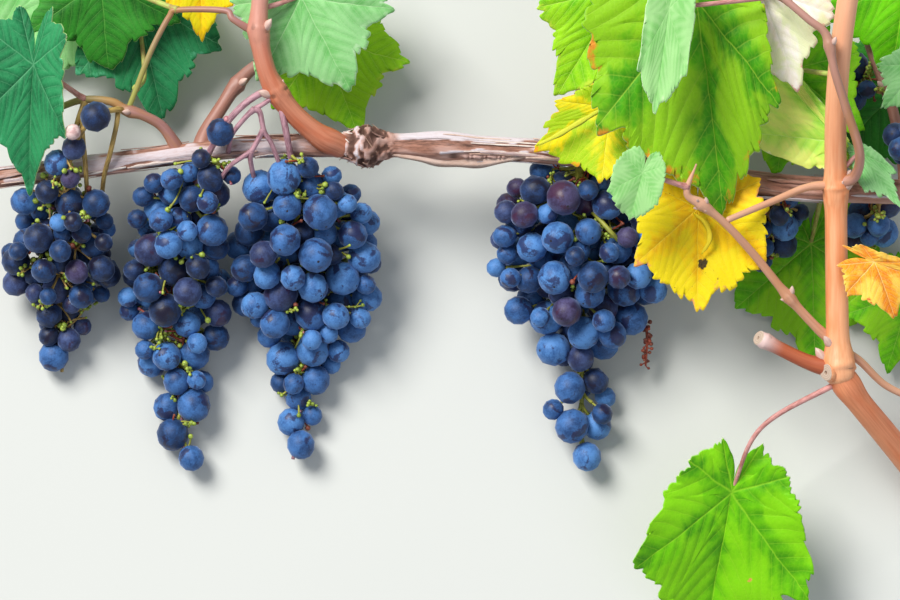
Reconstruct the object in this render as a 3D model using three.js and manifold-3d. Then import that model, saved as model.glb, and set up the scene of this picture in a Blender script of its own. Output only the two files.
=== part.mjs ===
// A grapevine branch, cut from the vine and laid flat: one old woody cane with a knot, younger shoots
// that grow from it, bunches of grapes on their branching stalks, and lobed, toothed leaves.
// Millimetres, +Z up. The cane runs along X with its base at +X, and Y runs across the branch, towards
// the tips of the shoots. The origin is under the middle of the branch, on the surface it lies on.
import * as THREE from "three";
import { mergeVertices } from "three/addons/utils/BufferGeometryUtils.js";
import Module from "manifold-3d";

const wasm = await Module();
wasm.setup();

// Driving sizes of the whole branch.
const JOINT_GAP = 0.3;
const MIDDLE_X = 4.9;
const MIDDLE_Y = 7.9;
const LIFT = 0.4;
const LIMB_STEPS = 200;
const KNOT_RINGS = [-0.9, 0, 0.9];
const BERRY_SPREAD = 0.14;
const BERRY_FACET_GAIN = 1.065;
const BERRY_CONTACT = 0.93;
const BERRY_SEAT = 0.85;
const BERRY_CORNER = new THREE.Vector3(0, 1, (1 + Math.sqrt(5)) / 2).normalize();
const SLIDE_STEP = 0.15;
const UNDERSIDE = -0.3;
const LYING_WITHIN = 3;
const BEAD_STEP = 4;
const STALK_TIP_RADIUS = 0.8;
const STALK_SIDES = 5;
const LEAF_THICKNESS_SHARE = 0.013;
const GOLDEN_ANGLE = Math.PI * (3 - Math.sqrt(5));

const COLOURS = {
  old_bark: 0x9a8274,
  young_bark: 0xb5653a,
  red_stalk: 0xa8604e,
  grape: 0x2f4f8f,
  green_leaf: 0x5d9c1c,
  dark_leaf: 0x3d7a2a,
  pale_leaf: 0x9fd08c,
  cream_leaf: 0xe6e0c8,
  yellow_leaf: 0xe8bf16,
};
const materials = {};
for (const [name, color] of Object.entries(COLOURS)) {
  materials[name] = new THREE.MeshStandardMaterial({ color, roughness: 0.6, metalness: 0 });
}

// The same even random numbers, from 0 to 1, for the same seed.
function dice(seed) {
  let state = seed;
  return () => {
    state = (state * 48271) % 2147483647;
    return state / 2147483647;
  };
}

const vector = (point) => new THREE.Vector3(...point);
const degrees = (angle) => THREE.MathUtils.degToRad(angle);

// Solids

function bareOf(geometry) {
  const bare = geometry.clone();
  bare.deleteAttribute("normal");
  bare.deleteAttribute("uv");
  return bare;
}

function solidOf(geometry) {
  const merged = mergeVertices(bareOf(geometry), 1e-4);
  return new wasm.Manifold(
    new wasm.Mesh({
      numProp: 3,
      vertProperties: merged.attributes.position.array,
      triVerts: new Uint32Array(merged.index.array),
    }),
  );
}

function meshOf(name, solid, material) {
  const made = solid.getMesh();
  const geometry = new THREE.BufferGeometry();
  geometry.setAttribute("position", new THREE.BufferAttribute(new Float32Array(made.vertProperties), 3));
  geometry.setIndex(new THREE.BufferAttribute(new Uint32Array(made.triVerts), 1));
  geometry.computeVertexNormals();
  const mesh = new THREE.Mesh(geometry, materials[material]);
  mesh.name = name;
  return mesh;
}

// The largest single body of a solid: what a cut leaves over as scraps is dropped.
function largestBody(solid) {
  return solid.decompose().reduce((best, body) => (body.volume() > best.volume() ? body : best));
}

// Limbs

// The radius at a place along a limb: an even taper, thicker at each knot.
function limbRadius(limb, along, length) {
  let radius = THREE.MathUtils.lerp(limb.thick, limb.thin, along / length);
  for (const knot of limb.knots ?? []) {
    radius += knot.swell * Math.exp(-(((along - knot.at) / knot.half) ** 2));
  }
  return radius;
}

// Where the rings of a limb stand, in steps along it: evenly, and closer together at each knot.
function limbStops(limb, length) {
  const even = Math.max(2, Math.round(length / limb.step));
  const stops = new Set();
  for (let i = 0; i <= even; i++) stops.add(Math.round((LIMB_STEPS * i) / even));
  for (const knot of limb.knots ?? []) {
    for (const off of KNOT_RINGS) {
      const stop = Math.round((LIMB_STEPS * (knot.at + off * knot.half)) / length);
      if (stop > 0 && stop < LIMB_STEPS) stops.add(stop);
    }
  }
  return [...stops].sort((near, far) => near - far);
}

// A limb is a lathe-turned profile with two flat ends, bent along a smooth curve through its points.
// It can be grown by the same amount all round and past both ends.
function limbSolid(limb, grow = 0) {
  const curve = new THREE.CatmullRomCurve3(limb.points.map(vector), false, "catmullrom");
  const length = curve.getLength();
  const profile = [new THREE.Vector2(0, 0)];
  for (const stop of limbStops(limb, length)) {
    const along = (length * stop) / LIMB_STEPS;
    profile.push(new THREE.Vector2(limbRadius(limb, along, length) + grow, along));
  }
  profile.push(new THREE.Vector2(0, length));
  const geometry = new THREE.LatheGeometry(profile, limb.sides);
  const frames = curve.computeFrenetFrames(LIMB_STEPS);
  const position = geometry.attributes.position;
  for (let i = 0; i < position.count; i++) {
    const stop = Math.round((position.getY(i) / length) * LIMB_STEPS);
    const bent = curve
      .getPointAt(stop / LIMB_STEPS)
      .addScaledVector(frames.normals[stop], position.getX(i))
      .addScaledVector(frames.binormals[stop], -position.getZ(i));
    if (stop === 0) bent.addScaledVector(frames.tangents[stop], -grow);
    if (stop === LIMB_STEPS) bent.addScaledVector(frames.tangents[stop], grow);
    position.setXYZ(i, bent.x, bent.y, bent.z);
  }
  return solidOf(geometry);
}

// What a limb's child has to stay out of: the limb with the joint's gap round it.
const room = (limb) => limbSolid(limb, JOINT_GAP);

const LIMBS = {
  old_cane: {
    points: [
      [222, 49, 46], [195, 49, 46], [150, 51, 46], [100, 58.5, 46], [50, 66, 46],
      [0, 69, 46], [-38, 69.5, 46], [-90, 69, 45], [-150, 62, 43], [-205, 55, 40],
    ],
    thick: 5.6, thin: 4.6, sides: 9, step: 20, material: "old_bark",
    knots: [{ at: 226, swell: 1.6, half: 12 }, { at: 261, swell: 4.2, half: 8 }],
  },
  fruiting_shoot: {
    points: [
      [-50, 69.4, 48], [-59, 74, 53], [-70, 83.5, 57], [-78, 94, 60],
      [-82.5, 104, 62], [-85.5, 120, 64], [-84.8, 136, 65], [-84.5, 155, 66],
    ],
    thick: 5.0, thin: 3.5, sides: 8, step: 11, material: "young_bark", from: "old_cane",
    knots: [{ at: 39, swell: 0.9, half: 6 }, { at: 68, swell: 1.0, half: 6 }],
  },
  back_shoot: {
    points: [
      [-113, 67, 43], [-109.5, 77, 40], [-103, 88, 37], [-97, 97, 35], [-88, 106, 33], [-70, 114, 32],
    ],
    thick: 3.4, thin: 2.6, sides: 6, step: 13, material: "young_bark", from: "old_cane",
    knots: [{ at: 36, swell: 0.8, half: 5 }],
  },
  left_shoot: {
    points: [
      [-121, 65, 43], [-129, 77.5, 48], [-138, 83, 52], [-146, 85.5, 53],
      [-152, 89, 54], [-164, 90, 54], [-174, 87, 53], [-183, 82.5, 51],
    ],
    thick: 2.7, thin: 1.3, sides: 5, step: 12, material: "red_stalk", from: "old_cane",
    knots: [{ at: 33, swell: 0.8, half: 4 }],
  },
  left_runner: {
    points: [
      [-87, 119.5, 63], [-97, 125.5, 64], [-101, 129.5, 62], [-122, 130, 58],
      [-126, 127, 57], [-134, 112, 56], [-142, 92, 54], [-144.5, 86, 53],
    ],
    thick: 1.5, thin: 1.2, sides: 5, step: 11, material: "red_stalk", from: "fruiting_shoot",
    to: "left_shoot",
  },
  middle_shoot: {
    points: [
      [54.5, 65, 46], [56.3, 81, 43], [64, 101.3, 41], [73, 118, 41], [83.3, 135, 43], [92.3, 153, 45],
    ],
    thick: 4.3, thin: 3.6, sides: 7, step: 12, material: "young_bark", from: "old_cane",
    knots: [{ at: 40, swell: 0.9, half: 6 }],
  },
  right_shoot: {
    points: [
      [206, 49, 44], [203.5, 72, 36], [199, 92.3, 33], [192, 110.3, 32], [186, 130.5, 32], [183, 150, 32],
    ],
    thick: 2.7, thin: 2.0, sides: 6, step: 14, material: "young_bark", from: "old_cane",
    knots: [{ at: 50, swell: 0.7, half: 5 }],
  },
  upright_shoot: {
    points: [
      [174.8, -33, 53], [174, -13.5, 54], [173.4, 18, 56], [173, 49.5, 57.82],
      [172, 81, 70], [173.5, 112.5, 81], [179, 155, 92],
    ],
    thick: 5.3, thin: 4.6, sides: 8, step: 12, material: "young_bark",
    knots: [{ at: 2, swell: 1.0, half: 8 }, { at: 83, swell: 1.2, half: 7 }],
  },
  upright_foot: {
    points: [
      [174.8, -33, 53], [184, -45.5, 46.5], [194.5, -57.5, 36], [205.5, -70, 24.5], [217.5, -84, 13], [228, -96, 6.4],
    ],
    thick: 5.4, thin: 6.2, sides: 8, step: 12, material: "young_bark", from: "upright_shoot",
  },
  pruned_stub: {
    points: [[173.5, -31, 53], [160, -27.5, 54], [138.5, -17, 56]],
    thick: 3.5, thin: 3.0, sides: 7, step: 12, material: "young_bark", from: "upright_shoot",
    knots: [{ at: 35, swell: 0.7, half: 4 }],
  },
  long_lateral: {
    points: [
      [173.9, -19, 51], [166, -13.5, 52], [151, 2.2, 58], [136.4, 19.5, 66],
      [122.5, 34, 74], [112, 42.3, 79], [105, 47.5, 82], [109, 60, 85],
    ],
    thick: 2.2, thin: 1.5, sides: 6, step: 12, material: "red_stalk", from: "upright_shoot",
    knots: [{ at: 31, swell: 0.9, half: 4 }, { at: 92, swell: 1.1, half: 5 }],
  },
  short_lateral: {
    points: [[174, -22, 51], [184, -27, 48], [196, -38, 42], [210, -45, 38]],
    thick: 1.9, thin: 1.5, sides: 5, step: 12, material: "red_stalk", from: "upright_shoot",
  },
  cross_stalk: {
    points: [[172.5, 51.5, 59], [160, 50.5, 61], [145, 44.5, 66], [124, 35.8, 74]],
    thick: 1.8, thin: 1.4, sides: 5, step: 12, material: "red_stalk", from: "upright_shoot",
    to: "long_lateral",
  },
  front_lateral: {
    points: [
      [174, 52, 60], [181, 55.5, 65], [182, 66, 76], [175.5, 85, 84], [170, 101, 89],
      [166, 117, 91], [158, 124, 92], [144, 136, 92],
    ],
    thick: 2.3, thin: 1.6, sides: 6, step: 12, material: "red_stalk", from: "upright_shoot",
    knots: [{ at: 76, swell: 0.9, half: 4 }],
  },
};

// Bunches

// A value read off evenly spaced steps, with straight lines between them.
function readSteps(steps, share) {
  const place = share * (steps.length - 1);
  const below = Math.min(Math.floor(place), steps.length - 2);
  return steps[below] + (steps[below + 1] - steps[below]) * (place - below);
}

// The point and the two crosswise directions of a main stalk, which is one cubic arc.
function stalkFrame(stalk, share) {
  const arc = new THREE.CubicBezierCurve3(...stalk.map(vector));
  const point = arc.getPoint(share);
  const ahead = arc.getTangent(share);
  const side = new THREE.Vector3(ahead.y, -ahead.x, 0).normalize();
  const up = side.clone().cross(ahead).normalize();
  return { point, side, up };
}

// A point beside the stalk: so far out, at so many radians round it, in a section flattened by its depth.
function besideStalk({ point, side, up }, depth, turn, out) {
  return point
    .clone()
    .addScaledVector(side, Math.cos(turn) * out)
    .addScaledVector(up, Math.sin(turn) * out * depth);
}

// Beads along every limb, as wide as the limb, for the berries to keep clear of.
function limbBeads() {
  const beads = [];
  for (const limb of Object.values(LIMBS)) {
    const curve = new THREE.CatmullRomCurve3(limb.points.map(vector), false, "catmullrom");
    const length = curve.getLength();
    const count = Math.round(length / BEAD_STEP);
    for (let i = 0; i <= count; i++) {
      const radius = limbRadius(limb, (length * i) / count, length) + JOINT_GAP;
      beads.push({ centre: curve.getPointAt(i / count), radius });
    }
  }
  return beads;
}

// Berries are dealt in turns round the main stalk, fewer on the underside.
function berriesOf(bunch, taken) {
  const random = dice(bunch.seed);
  const found = [];
  for (let i = 0; i < bunch.tries; i++) {
    const share = bunch.bare + (1 - bunch.bare) * random();
    const turn = i * GOLDEN_ANGLE + random();
    const radius = bunch.berry * (1 - BERRY_SPREAD + 2 * BERRY_SPREAD * random());
    if (Math.sin(turn) < UNDERSIDE && i % 2) continue;
    const berry = settleBerry(bunch, share, turn, radius, found, taken);
    if (berry) found.push(berry);
  }
  return found;
}

// A berry moves out from the stalk to the first free place, where it rests against the stalk or against
// the berry that it has just passed. One that comes near the ground lies on it.
function settleBerry(bunch, share, turn, radius, found, taken) {
  const stalk = stalkRadius(bunch, share);
  const outer = Math.max(0, readSteps(bunch.halfWidths, share) - radius);
  const frame = stalkFrame(bunch.stalk, share);
  let against = frame.point;
  for (let out = Math.min(stalk + BERRY_SEAT * radius, outer); out <= outer; out += SLIDE_STEP) {
    const centre = besideStalk(frame, bunch.depth, turn, out);
    if (centre.z < radius - LYING_WITHIN) return null;
    centre.z = Math.max(centre.z, radius);
    const hit = (other) => other.centre.distanceTo(centre) < (other.radius + radius) * BERRY_CONTACT;
    const blocker = found.find(hit);
    if (blocker) {
      against = blocker.centre;
      continue;
    }
    const clash = (other) => other.centre.distanceTo(centre) < other.radius + radius * BERRY_FACET_GAIN;
    if (taken.some(clash)) return null;
    return { centre, radius, share, against };
  }
  return null;
}

// A berry has twenty flat sides, and one of its corners points at what it rests against.
function berrySolid({ centre, radius, against }) {
  const body = new THREE.IcosahedronGeometry(radius * BERRY_FACET_GAIN, 0);
  const towards = against.clone().sub(centre).normalize();
  body.applyQuaternion(new THREE.Quaternion().setFromUnitVectors(BERRY_CORNER, towards));
  body.translate(...centre);
  return solidOf(body);
}

function stalkRadius(bunch, share) {
  return THREE.MathUtils.lerp(bunch.thick, STALK_TIP_RADIUS, share);
}

// The main stalk of a bunch: rings round its curve, closed by a point at each end.
function stalkSolid(bunch) {
  const points = [stalkFrame(bunch.stalk, 0).point];
  const faces = [];
  for (let ring = 0; ring <= bunch.rings; ring++) {
    const share = ring / bunch.rings;
    const frame = stalkFrame(bunch.stalk, share);
    for (let i = 0; i < STALK_SIDES; i++) {
      points.push(besideStalk(frame, 1, (i * 2 * Math.PI) / STALK_SIDES, stalkRadius(bunch, share)));
    }
  }
  points.push(stalkFrame(bunch.stalk, 1).point);
  const last = points.length - 1;
  for (let i = 0; i < STALK_SIDES; i++) {
    const next = (i + 1) % STALK_SIDES;
    faces.push([0, 1 + i, 1 + next]);
    for (let ring = 0; ring < bunch.rings; ring++) {
      const near = 1 + ring * STALK_SIDES;
      const far = near + STALK_SIDES;
      faces.push([near + i, far + next, near + next], [near + i, far + i, far + next]);
    }
    faces.push([last, last - STALK_SIDES + next, last - STALK_SIDES + i]);
  }
  const geometry = new THREE.BufferGeometry().setFromPoints(points);
  geometry.setIndex(faces.flat());
  return solidOf(geometry);
}

function bunchSolid(bunch, berries) {
  return wasm.Manifold.union([stalkSolid(bunch), ...berries.map(berrySolid)]);
}

const BUNCHES = {
  front_bunch: {
    stalk: [[58, 64, 46], [59, 45, 34], [61, 0, 14], [60, -74, 9]],
    halfWidths: [0, 24, 35, 42, 44, 45, 42, 27, 18, 18, 9], depth: 0.6, berry: 7,
    thick: 2.0, bare: 0.07, tries: 520, rings: 8, seed: 11, from: "old_cane",
  },
  centre_bunch: {
    stalk: [[-77, 94, 59], [-72, 66, 70], [-58, 10, -5], [-72, -73, 9]],
    halfWidths: [0, 0, 0, 14, 30, 38, 38, 34, 19, 13, 8], depth: 0.6, berry: 7,
    thick: 1.6, bare: 0.25, tries: 620, rings: 9, seed: 23, from: "fruiting_shoot",
  },
  left_bunch: {
    stalk: [[-79, 95, 59], [-112, 84, 82], [-134, 22, 0], [-121, -75, 9]],
    halfWidths: [0, 0, 0, 8, 20, 27, 28, 31, 23, 16, 8], depth: 0.6, berry: 6.8,
    thick: 1.6, bare: 0.27, tries: 380, rings: 9, seed: 37, from: "fruiting_shoot",
  },
  far_bunch: {
    stalk: [[-146, 85.5, 53], [-172, 86, 94], [-180, 48, 13], [-178, -33, 6.5]],
    halfWidths: [0, 0, 7, 7, 5, 16, 27, 31, 31, 16, 8], depth: 0.6, berry: 6.2,
    thick: 1.3, bare: 0.18, tries: 260, rings: 7, seed: 53, from: "left_shoot",
  },
  right_bunch: {
    stalk: [[148, 51, 46], [149, 44, 34], [147, 34, 18], [144, 19, 12]],
    halfWidths: [0, 12, 17, 18, 14, 9], depth: 0.8, berry: 6.4,
    thick: 1.3, bare: 0.25, tries: 120, rings: 4, seed: 61, from: "old_cane",
  },
  end_bunch: {
    stalk: [[196, 49, 46], [193, 42, 36], [191, 34, 24], [190, 28, 16]],
    halfWidths: [0, 9, 15, 17, 15, 10], depth: 0.9, berry: 6.6,
    thick: 1.3, bare: 0.25, tries: 90, rings: 4, seed: 67, from: "old_cane",
  },
  edge_bunch: {
    stalk: [[203.5, 70, 36], [206, 75, 48], [206, 70, 60], [203, 61, 60]],
    halfWidths: [0, 9, 12, 13, 12, 9], depth: 0.9, berry: 5.8,
    thick: 1.1, bare: 0.4, tries: 70, rings: 4, seed: 79, from: "right_shoot",
  },
  top_bunch: {
    stalk: [[199, 93, 33], [190, 98, 30], [178, 102, 20], [164, 97, 15]],
    halfWidths: [0, 8, 15, 17, 15, 9], depth: 0.9, berry: 6.8,
    thick: 1.3, bare: 0.25, tries: 120, rings: 4, seed: 71, from: "right_shoot",
  },
};

// Leaves

// The five lobes: how far each reaches, as a share of the leaf's length, and at what angle from the midrib.
const LOBES = [
  { angle: 0, reach: 1 },
  { angle: 0.95, reach: 0.88 },
  { angle: 1.95, reach: 0.7 },
  { angle: 2.65, reach: 0.55 },
];
const BASE_LOBES_FROM = 1.5;
const LOBE_HALF_ANGLE = 0.45;
const LOBE_CUT = 0.5;
const SINUS_HALF_ANGLE = 0.5;
const SINUS_REACH = 0.12;
const TOOTH_HEIGHT = 0.045;
const LEAF_SPOKES = 28;
const LEAF_RINGS = [1];
const LEAF_STALK_SUNK = 1.5;

// The distance from the stalk to the leaf's edge, as a share of its length, at an angle from the midrib.
// The lobes beside the stalk can be smaller, by the share given as base.
function edgeReach(angle, base = 1) {
  const turn = Math.abs(angle);
  let reach = 0;
  for (const lobe of LOBES) {
    const off = (turn - lobe.angle) / LOBE_HALF_ANGLE;
    const full = lobe.reach * (lobe.angle > BASE_LOBES_FROM ? base : 1);
    reach = Math.max(reach, full / (1 + LOBE_CUT * off * off));
  }
  const open = Math.min(1, (Math.PI - turn) / SINUS_HALF_ANGLE);
  return reach * (SINUS_REACH + (1 - SINUS_REACH) * Math.sqrt(open));
}

// A point of the flat leaf, x across and y towards the tip. Each half has its own width. The leaf is
// folded up along the midrib, bent down along its length on an arc, and waved at its edge.
function shapeLeaf(leaf, flatX, y, height) {
  const x = flatX * (flatX < 0 ? leaf.sides[0] : leaf.sides[1]);
  const fold = degrees(leaf.fold);
  const across = Math.abs(x) * Math.cos(fold) - height * Math.sin(fold);
  const wave = leaf.wave * (Math.hypot(x, y) / leaf.size) ** 2 * Math.sin(5 * Math.atan2(x, y) + leaf.size);
  const raised = Math.abs(x) * Math.sin(fold) + height * Math.cos(fold) + wave;
  const sideways = x === 0 ? 0 : Math.sign(x) * Math.max(0, across);
  const bend = degrees(leaf.curl) / leaf.size;
  const arc = y * bend;
  const radius = 1 / bend - raised;
  return new THREE.Vector3(sideways, Math.sin(arc) * radius, Math.cos(arc) * radius - 1 / bend + 2 * raised);
}

function leafPlace(leaf) {
  const place = new THREE.Matrix4().makeTranslation(...leaf.at);
  place.multiply(new THREE.Matrix4().makeRotationZ(degrees(leaf.heading - 90)));
  place.multiply(new THREE.Matrix4().makeRotationX(degrees(leaf.pitch)));
  return place.multiply(new THREE.Matrix4().makeRotationY(degrees(leaf.roll)));
}

// The blade is two sheets of spokes and rings round the stalk's end, closed by a rim.
function bladeSolid(leaf) {
  const points = [];
  const thickness = leaf.size * LEAF_THICKNESS_SHARE;
  for (const height of [thickness / 2, -thickness / 2]) {
    points.push(shapeLeaf(leaf, 0, 0, height));
    for (const share of LEAF_RINGS) {
      for (let i = 0; i < LEAF_SPOKES; i++) {
        const angle = -Math.PI + ((i + 0.5) * 2 * Math.PI) / LEAF_SPOKES;
        const tooth = share === 1 ? 1 + TOOTH_HEIGHT * (i % 2 ? 1 : -1) : 1;
        const reach = leaf.size * share * edgeReach(angle, leaf.base) * tooth;
        points.push(shapeLeaf(leaf, Math.sin(angle) * reach, Math.cos(angle) * reach, height));
      }
    }
  }
  const sheet = 1 + LEAF_RINGS.length * LEAF_SPOKES;
  const faces = [];
  const quad = (a, b, c, d) => faces.push([a, b, c], [a, c, d]);
  for (let i = 0; i < LEAF_SPOKES; i++) {
    const next = (i + 1) % LEAF_SPOKES;
    faces.push([0, 1 + next, 1 + i], [sheet, sheet + 1 + i, sheet + 1 + next]);
    for (let ring = 0; ring + 1 < LEAF_RINGS.length; ring++) {
      const near = 1 + ring * LEAF_SPOKES;
      const far = near + LEAF_SPOKES;
      quad(near + i, near + next, far + next, far + i);
      quad(sheet + near + i, sheet + far + i, sheet + far + next, sheet + near + next);
    }
    const edge = 1 + (LEAF_RINGS.length - 1) * LEAF_SPOKES;
    quad(edge + i, edge + next, sheet + edge + next, sheet + edge + i);
  }
  const geometry = new THREE.BufferGeometry().setFromPoints(points);
  geometry.setIndex(faces.flat());
  geometry.applyMatrix4(leafPlace(leaf));
  return solidOf(geometry);
}

// The leaf's stalk curves from its limb to the blade.
function leafStalk(leaf) {
  const via = leaf.via ? vector(leaf.via) : vector(leaf.root).lerp(vector(leaf.at), 0.5);
  const ahead = new THREE.Vector3(0, LEAF_STALK_SUNK, 0).applyMatrix4(leafPlace(leaf));
  return {
    points: [leaf.root, via.toArray(), ahead.toArray()],
    thick: 1.4, thin: 0.9, sides: 3, step: 22,
  };
}

function leafSolid(leaf) {
  const blade = bladeSolid(leaf);
  return blade.add(limbSolid(leafStalk(leaf)));
}

const LEAVES = {
  far_left_leaf: {
    root: [-164, 90, 54], at: [-186, 105, 66], from: "left_shoot", size: 57, heading: -95, sides: [0.8, 0.25],
    via: [-178, 100, 60], pitch: -8, roll: 12, fold: 20, curl: 20, wave: 2, material: "green_leaf",
  },
  upper_left_leaf: {
    root: [-122, 130, 58], at: [-158, 145, 36], from: "left_runner", size: 41, heading: -86, sides: [1.1, 1.1],
    pitch: -4, roll: 0, fold: 6, curl: 20, wave: 2, material: "dark_leaf",
  },
  behind_left_leaf: {
    root: [-141, 95, 54.3], at: [-143, 138, 23], from: "left_runner", size: 56, heading: -78, sides: [0.8, 0.8],
    via: [-139, 104, 26], pitch: -4, roll: 0, fold: 5, curl: 10, wave: 2, material: "dark_leaf",
  },
  corner_leaf: {
    root: [-180, 84, 51.6], at: [-182, 146, 12], from: "left_shoot", size: 52, heading: -108, sides: [1, 1.1],
    pitch: -1, roll: 0, fold: 4, curl: 8, wave: 1.5, material: "pale_leaf",
  },
  small_yellow_leaf: {
    root: [-85, 146, 65.5], at: [-113, 149, 44], from: "fruiting_shoot", size: 31, heading: -88, sides: [0.7, 0.7],
    pitch: -4, roll: 0, fold: 10, curl: 10, wave: 1, material: "yellow_leaf",
  },
  pale_back_leaf: {
    root: [-85, 130, 65], at: [-67, 136, 52], from: "fruiting_shoot", size: 46, heading: -62, sides: [1, 1],
    pitch: -4, roll: 0, fold: 8, curl: 15, wave: 1.5, material: "pale_leaf",
  },
  lime_back_leaf: {
    root: [-78, 111, 32.5], at: [-58, 119, 22], from: "back_shoot", size: 44, heading: -70, sides: [1, 1],
    pitch: -3, roll: 0, fold: 6, curl: 10, wave: 1.5, material: "green_leaf",
  },
  bright_top_leaf: {
    root: [83, 134, 43], at: [78, 140, 62], from: "middle_shoot", size: 55, heading: -122, sides: [0.9, 0.7],
    pitch: -4, roll: 0, fold: 8, curl: 15, wave: 2, material: "green_leaf",
  },
  big_green_leaf: {
    root: [91, 150, 44.8], at: [109, 133, 84], from: "middle_shoot", size: 96, heading: -82, sides: [0.42, 0.72],
    via: [104, 156, 72], pitch: 0, roll: 0, fold: 5, curl: 25, wave: 1.5, material: "green_leaf",
  },
  left_yellow_leaf: {
    root: [65, 103, 41], at: [72, 86, 66], from: "middle_shoot", size: 38, heading: 208, sides: [1, 0.5],
    pitch: -4, roll: 0, fold: 8, curl: 10, wave: 1.5, material: "yellow_leaf",
  },
  low_yellow_leaf: {
    root: [113, 41.5, 78.5], at: [111, 41, 60], from: "long_lateral", size: 47, heading: -90, sides: [0.9, 0.8],
    pitch: 0, roll: 0, fold: 5, curl: 10, wave: 1.5, material: "yellow_leaf",
  },
  small_pale_leaf: {
    root: [105.5, 50, 82.6], at: [85, 56, 92], from: "long_lateral", size: 24, heading: -105, sides: [0.6, 0.75],
    pitch: 0, roll: 0, fold: 10, curl: 15, wave: 1, material: "pale_leaf",
  },
  rolled_pale_leaf: {
    root: [146, 134.5, 92], at: [96, 127.5, 107], from: "front_lateral", size: 53, heading: -98, sides: [0.4, 0.35],
    pitch: 0, roll: 0, fold: 15, curl: 4, wave: 1, material: "pale_leaf",
  },
  cream_leaf: {
    root: [150, 131, 92], at: [137, 139, 77], from: "front_lateral", size: 47, heading: -68, sides: [0.8, 0.8],
    pitch: -4, roll: 0, fold: 8, curl: 10, wave: 1.5, material: "cream_leaf",
  },
  folded_lime_leaf: {
    root: [172, 74, 67.5], at: [175, 71, 53.5], from: "upright_shoot", size: 60, heading: 133, sides: [0.62, 0.15],
    base: 0.45, pitch: 0, roll: 0, fold: 0.5, curl: 1, wave: 0.6, material: "green_leaf",
  },
  dark_back_leaf: {
    root: [173, 100, 76], at: [154, 104, 47], from: "upright_shoot", size: 46, heading: -98, sides: [1, 1],
    pitch: 0, roll: 0, fold: 2, curl: 4, wave: 1, material: "dark_leaf",
  },
  orange_leaf: {
    root: [173.4, 17, 56], at: [190, 17, 61], from: "upright_shoot", size: 33, heading: -20, sides: [0.25, 0.85],
    pitch: -10, roll: 0, fold: 15, curl: 20, wave: 2, material: "yellow_leaf",
  },
  low_green_leaf: {
    root: [176.5, -36, 51.5], at: [127.5, -87, 37], from: "upright_foot", size: 80, heading: -99,
    via: [140, -57, 56], sides: [0.72, 0.65], base: 0.65, pitch: -17, roll: 0, fold: 14, curl: 15, wave: 2, material: "green_leaf",
  },
  dark_low_leaf: {
    root: [168, 50, 46], at: [166, 26, 3.5], from: "old_cane", size: 54, heading: -88, sides: [0.9, 0.9],
    pitch: 0, roll: 0, fold: 1, curl: 2, wave: 1, material: "dark_leaf",
  },
  small_node_leaf: {
    root: [174, 57, 62], at: [183.5, 66, 60], from: "upright_shoot", size: 30, heading: -52, sides: [0.35, 0.4],
    base: 0.5, pitch: -3, roll: 0, fold: 2, curl: 2, wave: 0.3, material: "pale_leaf",
  },
  top_right_leaf: {
    root: [184, 142, 32], at: [206, 146, 42], from: "right_shoot", size: 46, heading: -98, sides: [0.9, 1],
    pitch: -4, roll: 0, fold: 8, curl: 10, wave: 1.5, material: "green_leaf",
  },
  right_pale_leaf: {
    root: [197, 97, 33], at: [212, 106, 52], from: "right_shoot", size: 26, heading: -130, sides: [0.8, 0.8],
    pitch: -4, roll: 0, fold: 10, curl: 10, wave: 1, material: "pale_leaf",
  },
  shaded_right_leaf: {
    root: [200, 88, 33.5], at: [206, 98, 4], from: "right_shoot", size: 44, heading: -132, sides: [1, 1],
    pitch: 0, roll: 0, fold: 1, curl: 2, wave: 1, material: "dark_leaf",
  },
  low_right_leaf: {
    root: [212, 49, 46], at: [211, 4, 12], from: "old_cane", size: 36, heading: -106, sides: [1, 1],
    pitch: -5, roll: 0, fold: 4, curl: 6, wave: 1, material: "green_leaf",
  },
};

// The branch

const rooms = {};
const branch = new THREE.Group();
branch.name = "grapevine_branch";
branch.position.set(-MIDDLE_X, -MIDDLE_Y, LIFT);

for (const [name, limb] of Object.entries(LIMBS)) {
  let solid = limbSolid(limb);
  for (const parent of [limb.from, limb.to]) {
    if (parent) solid = largestBody(solid.subtract(rooms[parent]));
  }
  rooms[name] = room(limb);
  branch.add(meshOf(name, solid, limb.material));
}
const taken = limbBeads();
for (const [name, bunch] of Object.entries(BUNCHES)) {
  const berries = berriesOf(bunch, taken);
  taken.push(...berries);
  const solid = largestBody(bunchSolid(bunch, berries).subtract(rooms[bunch.from]));
  branch.add(meshOf(name, solid, "grape"));
}
for (const [name, leaf] of Object.entries(LEAVES)) {
  const solid = largestBody(leafSolid(leaf).subtract(rooms[leaf.from]));
  branch.add(meshOf(name, solid, leaf.material));
}

export default branch;
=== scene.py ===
"""A grapevine branch, cut and laid flat: bark, berries on their stalks, and veined leaves.

Shapes are worked out in the branch's own millimetres, as in the solids' source, and moved into the frame
when a piece is made. X runs along the cane, Y towards the shoots' tips, and Z up from the ground.
"""

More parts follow.
